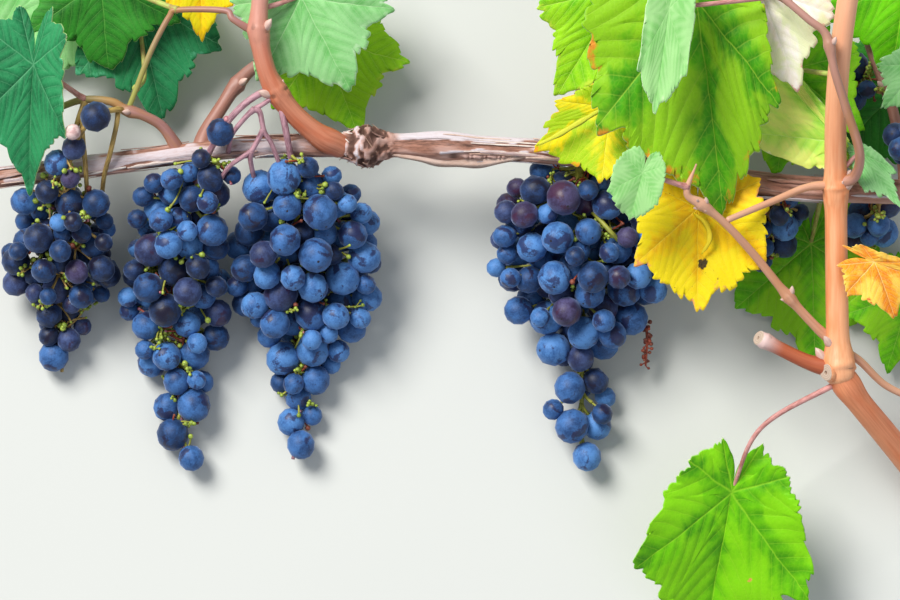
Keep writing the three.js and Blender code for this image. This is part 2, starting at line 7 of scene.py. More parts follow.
import bpy
import numpy as np
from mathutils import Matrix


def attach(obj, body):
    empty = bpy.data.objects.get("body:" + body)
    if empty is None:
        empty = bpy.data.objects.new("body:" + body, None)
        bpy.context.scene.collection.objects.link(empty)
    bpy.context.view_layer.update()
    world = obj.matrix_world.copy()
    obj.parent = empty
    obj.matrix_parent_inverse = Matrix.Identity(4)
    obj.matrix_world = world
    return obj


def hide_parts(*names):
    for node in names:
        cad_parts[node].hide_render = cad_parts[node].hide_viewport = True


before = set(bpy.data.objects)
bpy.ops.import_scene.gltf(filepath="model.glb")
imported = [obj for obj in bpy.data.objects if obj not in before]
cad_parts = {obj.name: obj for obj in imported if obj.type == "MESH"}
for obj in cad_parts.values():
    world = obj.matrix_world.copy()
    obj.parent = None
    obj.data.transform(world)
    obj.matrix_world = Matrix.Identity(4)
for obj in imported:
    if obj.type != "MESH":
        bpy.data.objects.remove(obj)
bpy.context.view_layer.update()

# Sizes of the whole branch
MIDDLE = np.array([4.9, 7.9, -0.4])
MILLIMETRES = 1000.0
UPWARD = np.array([0.0, 0.0, 1.0])
GOLDEN_ANGLE = np.pi * (3 - np.sqrt(5))
CURVE_SAMPLES = 201

# The finishes of a limb, of a bunch's stalks and of a leaf, by their places on the piece
BARK, CUT, BUD, PEELED, LOOSE = range(5)
MAIN, STEM, GREEN, RED, PINK, DRY, PALE = range(7)
UPPER, UNDER, PETIOLE = range(3)

# How berries are dealt, as in the solids
BERRY_SPREAD = 0.14
BERRY_GAIN = 1.065
BERRY_CONTACT = 0.93
BERRY_SEAT = 0.85
SMALL_BERRY = 0.72
SLIDE_STEP = 0.15
UNDERSIDE = -0.3
LYING_WITHIN = 3.0
SPACE_STEP = 4.0
JOINT_GAP = 0.3
STALK_TIP = 0.8

# The lobes of a leaf: angle from the midrib, and reach as a share of the leaf's length
LOBES = ((0.0, 1.0), (0.95, 0.88), (1.95, 0.7), (2.65, 0.55))
BASE_LOBES_FROM = 1.5
LOBE_HALF_ANGLE = 0.45
LOBE_CUT = 0.5
SINUS_HALF_ANGLE = 0.5
SINUS_REACH = 0.12
BLADE_THICKNESS = 0.011

# The veins of a leaf, in leaf lengths
SIDE_VEIN_STEP = 0.125
SIDE_VEIN_SLANT = 0.85
SIDE_VEIN_ARC = 0.9


# Numbers


def completed(shared, rows):
    """A table's rows, each with the shared values that it doesn't state itself."""
    return {name: {**shared, **row} for name, row in rows.items()}


def unit(vectors):
    """Each vector divided by its own length."""
    return vectors / np.maximum(np.linalg.norm(vectors, axis=-1, keepdims=True), 1e-9)


def blend(low, high, share):
    """low at share 0, high at share 1, and in a straight line between."""
    return low + (high - low) * share


def rise(value, low, high):
    """0 below low and 1 above high, with the smooth step 3t² - 2t³ between them."""
    t = np.clip((value - low) / (high - low), 0, 1)
    return t * t * (3 - 2 * t)


def window(value, on, off):
    """Up from 0 to 1 between the first two places and down to 0 again between the last two, smoothly."""
    return rise(value, *on) * (1 - rise(value, *off))


def hump(value, middle, half):
    """1 at the middle, falling off on both sides as e to the minus square of the distance in half-widths."""
    return np.exp(-(((value - middle) / half) ** 2))


def round_angles(spokes):
    """The angles of so many spokes, evenly round."""
    return np.arange(spokes) * 2 * np.pi / spokes


def dice(seed):
    """The source's own even random numbers from 0 to 1: a state is 48271 times the last, modulo 2³¹ - 1."""
    state = seed
    while True:
        state = state * 48271 % 2147483647
        yield state / 2147483647


def grain(seed, along, around, cells):
    """Smooth noise from 0 to 1: seeded values at whole steps of both coordinates, blended between them by
    3t² - 2t³. The second coordinate repeats after the given number of cells."""
    table = np.random.default_rng(seed).random((256, cells))
    i = np.floor(along).astype(int)
    j = np.floor(around).astype(int)
    t = rise(along - i, 0, 1)
    s = rise(around - j, 0, 1)
    near = blend(table[i % 256, j % cells], table[i % 256, (j + 1) % cells], s)
    far = blend(table[(i + 1) % 256, j % cells], table[(i + 1) % 256, (j + 1) % cells], s)
    return blend(near, far, t)


# Curves


def curve_through(points, shares):
    """The curve through points: between two neighbours each coordinate is the cubic whose slope at a point
    is half the step between the points on either side. The ends go on in a straight line."""
    points = np.asarray(points, float)
    line = np.vstack([2 * points[0] - points[1], points, 2 * points[-1] - points[-2]])
    place = np.clip(shares, 0, 1) * (len(points) - 1)
    first = np.minimum(place.astype(int), len(points) - 2)
    t = (place - first)[:, None]
    before, here, there, after = (line[first + k] for k in range(4))
    leaving = (there - before) / 2
    arriving = (after - here) / 2
    square = 3 * (there - here) - 2 * leaving - arriving
    cube = 2 * (here - there) + leaving + arriving
    return here + leaving * t + square * t**2 + cube * t**3


class Path:
    """A curve through points, read by the distance along it in millimetres."""

    def __init__(self, points):
        self.points = points
        self.shares = np.linspace(0, 1, CURVE_SAMPLES)
        steps = np.linalg.norm(np.diff(curve_through(points, self.shares), axis=0), axis=1)
        self.lengths = np.concatenate([[0.0], np.cumsum(steps)])
        self.length = self.lengths[-1]

    def inside(self, along):
        """Points of the curve itself, so far along it."""
        return curve_through(self.points, np.interp(along, self.lengths, self.shares))

    def ahead(self, along):
        """The curve's direction there: the step from just before to just after, at length 1."""
        reach = self.length / CURVE_SAMPLES
        along = np.clip(along, 0, self.length)
        before = self.inside(np.maximum(along - reach, 0))
        return unit(self.inside(np.minimum(along + reach, self.length)) - before)

    def at(self, along):
        """Points so far along the curve, which goes on straight past both of its ends."""
        past = along - np.clip(along, 0, self.length)
        return self.inside(along) + past[..., None] * self.ahead(along)


def crosswise(ahead):
    """Two directions across a line: side is ahead cross upward, and up is side cross ahead."""
    side = unit(np.cross(ahead, UPWARD))
    return side, np.cross(side, ahead)


def any_crosswise(ahead):
    """The same two directions for lines that may stand upright, which are crossed with X instead."""
    steep = np.abs(ahead[..., 2:]) > 0.9
    side = unit(np.cross(ahead, np.where(steep, [1.0, 0.0, 0.0], UPWARD)))
    return side, np.cross(side, ahead)


# Surfaces


TWIG_RINGS = 6
TWIG_SPOKES = 5
TWIG_PATTERN_STEP = 17.3
PLAIN_WEAR = (0.5, 0.0, 0.0)


class Skin:
    """The surface of one piece, gathered part by part. Each point also has two sets of three numbers that
    the finishes read: pattern, its place on the unbent part, and wear, what has happened to it there."""

    def __init__(self):
        self.points = []
        self.pattern = []
        self.wear = []
        self.faces = []
        self.count = 0

    def add(self, points, faces, pattern, wear):
        """Adds a part: its points, and its faces as lists of (corners, finish, flat)."""
        for corners, finish, flat in faces:
            finish = np.broadcast_to(finish, len(corners))
            self.faces.append((corners + self.count, finish, np.full(len(corners), not flat)))
        self.points.append(points)
        self.pattern.append(np.broadcast_to(pattern, points.shape))
        self.wear.append(np.broadcast_to(wear, points.shape))
        self.count += len(points)

    def piece(self, name, node, finishes):
        """The joined mesh, in the frame's metres. It stands for a node of the solids."""
        points = (np.concatenate(self.points) - MIDDLE) / MILLIMETRES
        corners = np.concatenate([face.ravel() for face, _, _ in self.faces])
        sizes = np.concatenate([np.full(len(face), face.shape[1]) for face, _, _ in self.faces])
        mesh = bpy.data.meshes.new(name)
        mesh.vertices.add(len(points))
        mesh.vertices.foreach_set("co", points.ravel().astype(np.float32))
        mesh.loops.add(len(corners))
        mesh.loops.foreach_set("vertex_index", corners.astype(np.int32))
        mesh.polygons.add(len(sizes))
        mesh.polygons.foreach_set("loop_start", (np.cumsum(sizes) - sizes).astype(np.int32))
        finish = np.concatenate([number for _, number, _ in self.faces])
        smooth = np.concatenate([smooth for _, _, smooth in self.faces])
        mesh.polygons.foreach_set("material_index", finish.astype(np.int32))
        mesh.update(calc_edges=True)
        mesh.polygons.foreach_set("use_smooth", smooth)
        for label, values in (("pattern", self.pattern), ("wear", self.wear)):
            layer = mesh.attributes.new(label, "FLOAT_VECTOR", "POINT")
            layer.data.foreach_set("vector", np.concatenate(values).ravel().astype(np.float32))
        for material in finishes:
            mesh.materials.append(material)
        obj = bpy.data.objects.new(name, mesh)
        bpy.context.scene.collection.objects.link(obj)
        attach(obj, "root")
        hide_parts(node)


def tubes(centres, side, up, radii, start, end):
    """Closed tubes, all of one pattern. Ring r of tube n has its points at centre + radius times
    (cos turn · side + sin turn · up), and a point closes each end. Gives the points, the quads in rows of
    rings, and the two fans of triangles."""
    count, rings, spokes = radii.shape
    turn = round_angles(spokes)
    outward = np.cos(turn)[:, None] * side[:, :, None] + np.sin(turn)[:, None] * up[:, :, None]
    body = (centres[:, :, None] + radii[..., None] * outward).reshape(count, -1, 3)
    points = np.concatenate([start[:, None], body, end[:, None]], axis=1)
    index = 1 + np.arange(rings * spokes).reshape(rings, spokes)
    beside = np.roll(index, -1, axis=1)
    quads = np.stack([index[:-1], index[1:], beside[1:], beside[:-1]], axis=-1).reshape(-1, 4)
    last = rings * spokes + 1
    fan = np.stack([np.zeros(spokes, int), index[0], beside[0]], axis=-1)
    far_fan = np.stack([np.full(spokes, last), beside[-1], index[-1]], axis=-1)
    steps = np.arange(count)[:, None, None] * (last + 1)
    shifted = [(steps + face).reshape(-1, face.shape[1]) for face in (quads, fan, far_fan)]
    return points.reshape(-1, 3), *shifted


def unbent(along, radii):
    """The place of a tube's points if the tube were straight along X, end points included: (along,
    radius cos turn, radius sin turn). Noise read there follows the tube and has no seam."""
    turn = round_angles(radii.shape[-1])
    along = np.broadcast_to(along[..., None], radii.shape)
    ring = np.stack([along, radii * np.cos(turn), radii * np.sin(turn)], axis=-1)
    ring = ring.reshape(len(radii), -1, 3)
    return np.concatenate([ring[:, :1] * [1, 0, 0], ring, ring[:, -1:] * [1, 0, 0]], axis=1).reshape(-1, 3)


def add_tube(skin, centres, side, up, radii, start, end, along, finish, wear):
    """One closed tube of one finish, whose pattern is read as if it were straight."""
    shape = tubes(centres[None], side[None], up[None], radii[None], start, end)
    faces = [(face, finish, False) for face in shape[1:]]
    skin.add(shape[0], faces, unbent(along[None], radii[None]), wear)


def add_twigs(skin, starts, middles, ends, thick, thin, finish):
    """Many thin twigs at once, each on the arc (1-t)² start + 2t(1-t) middle + t² end, tapering from
    thick to thin, with a small swelling at both ends."""
    if not len(starts):
        return
    t = np.linspace(0, 1, TWIG_RINGS)[None, :, None]
    starts, middles, ends = (np.asarray(p, float)[:, None] for p in (starts, middles, ends))
    centres = (1 - t) ** 2 * starts + 2 * t * (1 - t) * middles + t**2 * ends
    ahead = unit((1 - t) * (middles - starts) + t * (ends - middles))
    side, _ = any_crosswise(unit(ends - starts))
    side = unit(side - ahead * np.sum(side * ahead, axis=-1, keepdims=True))
    up = np.cross(side, ahead)
    count = len(starts)
    thick, thin = (np.broadcast_to(r, count)[:, None] for r in (thick, thin))
    share = t[0, :, 0][None]
    radius = blend(thick, thin, share) * (1 + 0.3 * hump(share, 0, 0.15) + 0.35 * hump(share, 1, 0.12))
    radii = np.repeat(radius[..., None], TWIG_SPOKES, axis=-1)
    points, *shapes = tubes(centres, side, up, radii, centres[:, 0], centres[:, -1])
    along = np.linalg.norm(ends - starts, axis=-1) * share + TWIG_PATTERN_STEP * np.arange(count)[:, None]
    finish = np.broadcast_to(finish, count)
    faces = [(face, np.repeat(finish, len(face) // count), False) for face in shapes]
    skin.add(points, faces, unbent(along, radii), PLAIN_WEAR)


def add_stalk(skin, points, thick, thin, finish, step, spokes, swellings=()):
    """One bent stalk through points, tapering from thick to thin and slightly uneven, with swellings
    given as (share along, size, half-width in millimetres)."""
    path = Path(points)
    along = np.linspace(0, path.length, max(4, int(path.length / step)))
    side, up = crosswise(path.ahead(along))
    radius = blend(thick, thin, along / path.length)
    for share, size, half in swellings:
        radius = radius + size * hump(along, share * path.length, half)
    radii = np.repeat(radius[None, :, None], spokes, axis=-1)
    uneven = 1 + 0.06 * (grain(len(points), along / 6, along * 0, 4)[None, :, None] - 0.5)
    centres = path.at(along)
    shape = tubes(centres[None], side[None], up[None], radii * uneven, centres[:1], centres[-1:])
    faces = [(face, finish, False) for face in shape[1:]]
    skin.add(shape[0], faces, unbent(along[None], radii), PLAIN_WEAR)


# Finishes


class Link:
    """A socket of a finish's nodes. Arithmetic on links adds Math nodes, so 1 - mask works. The sines
    and angles of numpy call the methods of the same names here, so one formula serves points and nodes."""

    def __init__(self, finish, socket):
        self.finish = finish
        self.socket = socket

    def __add__(self, other):
        return self.finish.maths("ADD", self, other)

    def __sub__(self, other):
        return self.finish.maths("SUBTRACT", self, other)

    def __rsub__(self, other):
        return self.finish.maths("SUBTRACT", other, self)

    def __mul__(self, other):
        return self.finish.maths("MULTIPLY", self, other)

    def __truediv__(self, other):
        return self.finish.maths("DIVIDE", self, other)

    def __pow__(self, other):
        return self.finish.maths("POWER", self, other)

    def __mod__(self, other):
        return self.finish.maths("FLOORED_MODULO", self, other)

    def __gt__(self, other):
        return self.finish.maths("GREATER_THAN", self, other)

    def __abs__(self):
        return self.finish.maths("ABSOLUTE", self)

    def sin(self):
        return self.finish.maths("SINE", self)

    def cos(self):
        return self.finish.maths("COSINE", self)

    def arctan2(self, other):
        return self.finish.maths("ARCTAN2", self, other)

    __radd__ = __add__
    __rmul__ = __mul__


class Finish:
    """A material under construction."""

    def __init__(self, name):
        self.material = bpy.data.materials.new(name)
        self.material.use_nodes = True
        self.tree = self.material.node_tree
        self.tree.nodes.clear()

    def node(self, kind, settings=None, inputs=None, output=0):
        """Adds a node: its settings first, then its sockets' values or links. Gives the chosen output."""
        made = self.tree.nodes.new("ShaderNode" + kind)
        for key, value in (settings or {}).items():
            setattr(made, key, value)
        for key, value in (inputs or {}).items():
            if isinstance(value, Link):
                self.tree.links.new(value.socket, made.inputs[key])
            else:
                made.inputs[key].default_value = value
        return Link(self, made.outputs[output]) if made.outputs else None

    def maths(self, operation, *values):
        """A Math node on links or numbers."""
        return self.node("Math", {"operation": operation}, dict(enumerate(values)))

    def read(self, layer):
        """The three numbers of a layer of the mesh, and the same as one vector."""
        vector = self.node("Attribute", {"attribute_name": layer}, output=1)
        return [self.node("SeparateXYZ", inputs={0: vector}, output=k) for k in range(3)] + [vector]

    def vector(self, x, y, z):
        """One vector of three links or numbers."""
        return self.node("CombineXYZ", inputs={0: x, 1: y, 2: z})

    def noise(self, vector, scale, detail=3.0, roughness=0.55, distortion=0.0):
        """Cloudy noise from 0 to 1, so many clouds a unit."""
        sockets = {0: vector, "Scale": scale, "Detail": detail, "Roughness": roughness}
        return self.node("TexNoise", inputs={**sockets, "Distortion": distortion})

    def cells(self, vector, scale, feature="F1"):
        """The distance from the nearest cell's middle, or in another way from the cells' edges."""
        return self.node("TexVoronoi", {"feature": feature}, {0: vector, "Scale": scale})

    def rise(self, value, low, high):
        """0 below low and 1 above high, smoothly."""
        sockets = {0: value, 1: low, 2: high, 3: 0.0, 4: 1.0}
        return self.node("MapRange", {"interpolation_type": "SMOOTHSTEP"}, sockets)

    def mix(self, first, second, share, way="MIX"):
        """A colour between two, by share, or the second laid over the first in another way."""
        first, second = (c if isinstance(c, Link) else tuple(c) + (1.0,) for c in (first, second))
        settings = {"data_type": "RGBA", "blend_type": way}
        return self.node("Mix", settings, {0: share, 6: first, 7: second}, output=2)

    def bump(self, height, distance, strength):
        """The normal of a surface with this height, at most so many millimetres."""
        sockets = {"Strength": strength, "Distance": distance / MILLIMETRES, "Height": height}
        return self.node("Bump", inputs=sockets)

    def surface(self, colour, roughness, normal=None, **constants):
        """Closes the finish with its shader. Constants are set on the shader's own sockets."""
        sockets = {"Base Color": colour, "Roughness": roughness}
        if normal is not None:
            sockets["Normal"] = normal
        for key, value in constants.items():
            sockets[key.replace("_", " ")] = value
        shader = self.node("BsdfPrincipled", inputs=sockets)
        self.node("OutputMaterial", inputs={0: shader})
        return self.material


def colour(code):
    """A colour from its usual six-digit code, as the linear values that the shader wants: below 0.04045 a
    twelfth of the value, and above it ((value + 0.055) / 1.055) to the power 2.4."""
    values = np.array([int(code[k:k + 2], 16) for k in (0, 2, 4)]) / 255
    return tuple(np.where(values < 0.04045, values / 12.92, ((values + 0.055) / 1.055) ** 2.4))


# The finishes of wood


def bark_finish(name, light, middle, dark, pale, fibre, gloss):
    """Bark: three tones by the relief and by noise drawn out along the limb, fibre times as long as it is
    wide, with weathered pale parts, fine lengthwise cracks, and dark parts by the wear's third number,
    which on the old cane include painted shade in the knob's pits, between the dead buds and in a deep hole."""
    f = Finish(name)
    relief, weathered, darkened, _ = f.read("wear")
    along, side, up, place = f.read("pattern")
    stretched = f.vector(along / fibre, side, up)
    strands = f.noise(stretched, 1.6, 4.0, 0.62)
    patches = f.noise(f.vector(along / 3.0, side, up), 0.22, 3.0)
    fine = f.noise(stretched, 5.5, 3.0, 0.7)
    specks = f.noise(place, 3.5, 2.0)
    tone = f.mix(colour(dark), colour(middle), f.rise(relief * 0.6 + strands * 0.55, 0.28, 0.62))
    tone = f.mix(tone, colour(light), f.rise(relief * 0.5 + patches * 0.7, 0.48, 0.86))
    tone = f.mix(tone, colour(pale), f.rise(weathered + strands * 0.5 - 0.25, 0.25, 0.8))
    tone = f.mix(tone, colour(dark), f.rise(1 - fine, 0.58, 0.8) * 0.55)
    # Dark by the wear's third number: dark bark, and on the old cane also painted shade in the knob's pits,
    # between the dead buds and in a deep hole.
    tone = f.mix(tone, colour(dark), f.rise(darkened + specks * 0.3 - 0.15, 0.3, 0.9) * 0.85)
    normal = f.bump(strands * 0.6 + fine * 0.4, 0.5, 0.8)
    return f.surface(tone, gloss + 0.25 * fine, normal)


def cane_finish(name, light, dark, blush, tip=None, tip_from=0.35):
    """A young shoot: smooth, faintly streaked lengthwise, blushed in long patches, paler towards its tip,
    with small dark lenticels and dead bark at the nodes."""
    f = Finish(name)
    relief, far, darkened, _ = f.read("wear")
    along, side, up, _ = f.read("pattern")
    streaks = f.noise(f.vector(along / 24.0, side, up), 0.9, 2.0, 0.5)
    patches = f.noise(f.vector(along / 5.0, side, up), 0.2, 2.0)
    spots = f.cells(f.vector(along / 2.5, side, up), 1.1)
    tone = f.mix(colour(dark), colour(light), f.rise(streaks * 0.6 + relief * 0.5, 0.05, 0.8))
    tone = f.mix(tone, colour(blush), f.rise(patches, 0.4, 0.75) * 0.7)
    tone = f.mix(tone, colour(tip or light), f.rise(far, tip_from, 1.0) * 0.8)
    tone = f.mix(tone, colour(dark), (1 - f.rise(spots, 0.05, 0.12)) * 0.45)
    tone = f.mix(tone, colour("5a3a28"), f.rise(darkened, 0.3, 0.9) * 0.75)
    fine = f.noise(f.vector(along / 12.0, side, up), 3.0, 3.0, 0.6)
    return f.surface(tone, 0.4 + 0.15 * fine, f.bump(streaks * 0.6 + fine * 0.4, 0.2, 0.45))


def cut_finish(name, light, dark):
    """A cut across the wood: rings round the pith, and fine rays out from it."""
    f = Finish(name)
    _, side, up, place = f.read("pattern")
    out = (side ** 2 + up ** 2) ** 0.5
    turn = np.arctan2(side, up)
    rings = np.sin(out * 7.0 + f.noise(place, 0.8) * 3.0) * 0.5 + 0.5
    rays = f.noise(f.vector(turn * 5.0, out * 0.4, 0.0), 3.0, 2.0)
    tone = f.mix(colour(light), colour(dark), rings * 0.4 + rays * 0.45)
    tone = f.mix(colour("7b5c48"), tone, f.rise(out, 0.3, 0.9))
    return f.surface(tone, 0.75 + 0.1 * rays, f.bump(rings, 0.1, 0.5))


def stalk_finish(name, light, dark):
    """A thin stalk: two tones in lengthwise streaks and short patches."""
    f = Finish(name)
    along, side, up, _ = f.read("pattern")
    streaks = f.noise(f.vector(along / 5.0, side, up), 2.2, 2.0)
    patches = f.noise(f.vector(along / 1.5, side, up), 0.25, 2.0)
    tone = f.mix(colour(dark), colour(light), f.rise(streaks * 0.5 + patches * 0.5, 0.35, 0.62))
    return f.surface(tone, 0.5 + 0.15 * streaks, f.bump(streaks, 0.15, 0.5))


# The finishes of fruit


def grape_finish(name, bloom, skin, rubbed, cover):
    """A ripe grape: dark skin under a dusty bloom that is rubbed off in patches and speckled with small
    lenticels, and a dark point at the far end. The more cover, the less skin shows."""
    f = Finish(name)
    _, _, _, place = f.read("pattern")
    _, far, _, _ = f.read("wear")
    dust = f.noise(place, 0.16, 3.0, 0.6, 0.4)
    fine = f.noise(place, 1.3, 4.0, 0.65)
    patches = f.noise(place, 0.1, 2.0, 0.5, 0.8)
    dots = f.cells(place, 0.75)
    thin = f.rise(dust * 0.75 + fine * 0.35, cover - 0.12, cover + 0.3)
    tone = f.mix(colour(bloom), colour(skin), thin)
    scuffs = f.noise(place, 0.45, 3.0, 0.7, 2.0)
    bare = f.rise(patches + fine * 0.2, 0.66, 0.74)
    tone = f.mix(tone, colour(rubbed), bare * 0.85)
    tone = f.mix(tone, colour(skin), f.rise(scuffs, 0.6, 0.68) * 0.55)
    tone = f.mix(tone, colour(bloom), (1 - f.rise(dots, 0.05, 0.13)) * 0.3)
    tone = f.mix(tone, colour("241a1e"), f.rise(far, 0.989, 0.9935))
    roughness = 0.6 - 0.14 * thin - 0.16 * bare + 0.08 * fine
    normal = f.bump(fine, 0.12, 0.35)
    return f.surface(tone, roughness, normal, Sheen_Weight=0.35, Sheen_Roughness=0.45,
                     Sheen_Tint=(0.45, 0.6, 1.0, 1.0), Specular_IOR_Level=0.35)


def unripe_finish(name, light, dark):
    """An unripe berry: smooth, with a pale flush."""
    f = Finish(name)
    _, _, _, place = f.read("pattern")
    flush = f.noise(place, 0.4, 2.0)
    tone = f.mix(colour(dark), colour(light), f.rise(flush, 0.35, 0.65))
    return f.surface(tone, 0.4 + 0.1 * flush, f.bump(flush, 0.1, 0.3))


# The finishes of leaves


def vein_map(across, ahead):
    """Where a point of the flat leaf lies among its veins, in leaf lengths. Main veins fan out from the
    stalk to the lobes. Gives the distance from the nearest of them, the share of the way from one side
    vein to the next, and the distance from the stalk. Side veins leave a main vein at a slant, bend
    forwards as the square of the distance from it, and start by turns from either side of it."""
    turn = abs(np.arctan2(across, ahead))
    angles = [angle for angle, _ in LOBES]
    nearest = sum((far - near) * (turn > (near + far) / 2) for near, far in zip(angles, angles[1:]))
    off = turn - nearest
    out = (across ** 2 + ahead ** 2) ** 0.5
    away = abs(out * np.sin(off))
    along = out * np.cos(off)
    steps = (along - SIDE_VEIN_SLANT * away - SIDE_VEIN_ARC * away ** 2) * (1 / SIDE_VEIN_STEP)
    return away, (steps + 0.5 * (off > 0)) % 1, out


def leaf_finish(name, blade, deep, vein, margin=None, tint=None, speck=0.0, show=1.0, hole=None):
    """A leaf's upper side: pale main and side veins with a fine net between them, deeper tones near the
    veins, an edge tint, patches of a second tint between the veins, and dead brown specks. The hole is
    the middle, the radius and the colour of a spot with a ragged edge, in leaf lengths; a near-black one
    is painted shade that stands for a hole through the leaf."""
    f = Finish(name)
    across, ahead, rim, _ = f.read("pattern")
    chance, _, _, _ = f.read("wear")
    here = f.vector(across + chance * 7.0, ahead + chance * 3.0, 0.0)
    warp = f.noise(here, 5.0, 2.0)
    away, step, out = vein_map(across + (warp - 0.5) * 0.035, ahead + (warp - 0.5) * 0.03)
    beside = 0.5 - abs(step - 0.5)
    main = 1 - f.rise(away, 0.001, 0.011 - 0.007 * out)
    side = 1 - f.rise(beside, 0.01, 0.06)
    net = 1 - f.rise(f.cells(here, 26.0, "DISTANCE_TO_EDGE"), 0.03, 0.14)
    clouds = f.noise(here, 2.6, 4.0, 0.6)
    grains = f.noise(here, 60.0, 2.0)
    tone = f.mix(colour(deep), colour(blade), f.rise(beside * 0.5 + clouds + away, 0.35, 0.95))
    if tint:
        spread = f.rise(f.noise(here, 3.4, 3.0, 0.6, 0.6) + away * 1.5, 0.52, 0.76)
        tone = f.mix(tone, colour(tint), spread * 0.9)
    tone = f.mix(tone, colour(vein), net * (0.12 * show))
    tone = f.mix(tone, colour(vein), side * (0.34 * show))
    tone = f.mix(tone, colour(vein), main * (0.7 * show))
    if margin:
        reach = (f.noise(here, 5.0, 4.0, 0.65) - 0.5) * 0.9
        tone = f.mix(tone, colour(margin), f.rise(rim + reach, 1.0, 1.12))
    if speck:
        spots = f.noise(here, 22.0, 3.0, 0.6)
        where = f.noise(here, 2.0, 2.0)
        tone = f.mix(tone, colour("7a4a1c"), f.rise(spots + where * speck, 0.82, 0.92) * 0.85)
    # A spot with a ragged edge that stands for a hole: a near-black one is painted shade seen through it.
    if hole:
        hole_x, hole_y, radius, dead = hole
        apart = ((across - hole_x) ** 2 + (ahead - hole_y) ** 2) ** 0.5 + f.noise(here, 20.0, 2.0) * 0.08
        tone = f.mix(colour(dead), tone, f.rise(apart, radius + 0.03, radius + 0.045))
    tone = f.mix(tone, colour(deep), (grains - 0.3) * 0.25)
    height = beside * 0.4 - main * 0.6 - side * 0.35 - net * 0.2 + grains * 0.12
    return f.surface(tone, 0.5 + 0.2 * clouds, f.bump(height * show, 0.35, 0.5), Specular_IOR_Level=0.22)


def underside_finish(name, blade, vein):
    """A leaf's underside: paler and duller, with raised veins."""
    f = Finish(name)
    across, ahead, _, flat = f.read("pattern")
    away, step, _ = vein_map(across, ahead)
    beside = 0.5 - abs(step - 0.5)
    main = 1 - f.rise(away, 0.004, 0.016)
    side = 1 - f.rise(beside, 0.03, 0.1)
    down = f.noise(flat, 30.0, 3.0)
    tone = f.mix(colour(blade), colour(vein), main * 0.8 + side * 0.35)
    tone = f.mix(tone, colour(vein), down * 0.25)
    return f.surface(tone, 0.8 + 0.1 * down, f.bump(main + side * 0.5 + down * 0.2, 0.5, 0.6))


WOOD = {
    "old_bark": bark_finish("old_bark", "c4a096", "a2705c", "46291f", "cfc6cc", 6.0, 0.6),
    "peeled_bark": bark_finish("peeled_bark", "dcc0b2", "c09a86", "85604c", "e2d8d2", 3.0, 0.5),
    "fruiting_shoot": cane_finish("russet_cane", "c98264", "8a4428", "b4552c", "c99a90"),
    "stub": cane_finish("stub_cane", "b4603c", "74301e", "9c4226", "e0c8c4", 0.66),
    "foot": cane_finish("ruddy_cane", "e8966a", "b45c34", "d8703c", "e49c74"),
    "front_lateral": cane_finish("rosy_cane", "bc8a7c", "88584c", "a0703c", "b4887c"),
    "back_shoot": cane_finish("brown_cane", "a8786a", "6a4238", "8e5a4a", "a88078"),
    "upright_shoot": cane_finish("salmon_cane", "f0ae80", "c46c3c", "dc8048", "e8ae8c"),
    "lateral": cane_finish("tan_cane", "d6a284", "a0664a", "c88c62", "cf9f84"),
    "runner": cane_finish("mauve_cane", "a87872", "744a40", "a8743c", "8f9a3a"),
    "cut_wood": cut_finish("cut_wood", "cdb8a6", "96806c"),
    "bud": cane_finish("bud_scale", "d8bcb0", "96685a", "c49484"),
}
STALKS = {
    "mauve": stalk_finish("mauve_stalk", "b98d97", "7d5560"),
    "green": stalk_finish("green_stalk", "a6a641", "707626"),
    "tan": stalk_finish("tan_stalk", "b89a55", "7d6334"),
    "red": stalk_finish("red_stalk", "a4492e", "6e2b1e"),
    "dry": stalk_finish("dry_stalk", "8e4a34", "5c2a20"),
    "petiole": stalk_finish("petiole", "d49a94", "a86a62"),
    "green_petiole": stalk_finish("green_petiole", "a8b95a", "9a7a4a"),
}
GRAPES = [
    grape_finish("grape_blue", "5286c4", "1b467f", "1e1f4a", 0.52),
    grape_finish("grape_mid", "4070ae", "143462", "1e183c", 0.47),
    grape_finish("grape_deep", "27528a", "0c2246", "1a102a", 0.42),
    grape_finish("grape_dusk", "425484", "1c2042", "301834", 0.42),
    grape_finish("grape_violet", "544e78", "2a1a38", "3e1832", 0.42),
    grape_finish("grape_night", "274578", "0a132e", "171024", 0.38),
]
BEADS = {
    "green": unripe_finish("green_berry", "a9bb49", "72882a"),
    "pink": unripe_finish("pink_berry", "c98a8e", "8a4a5c"),
    "pale": unripe_finish("pale_berry", "e4c8c4", "c09a98"),
}
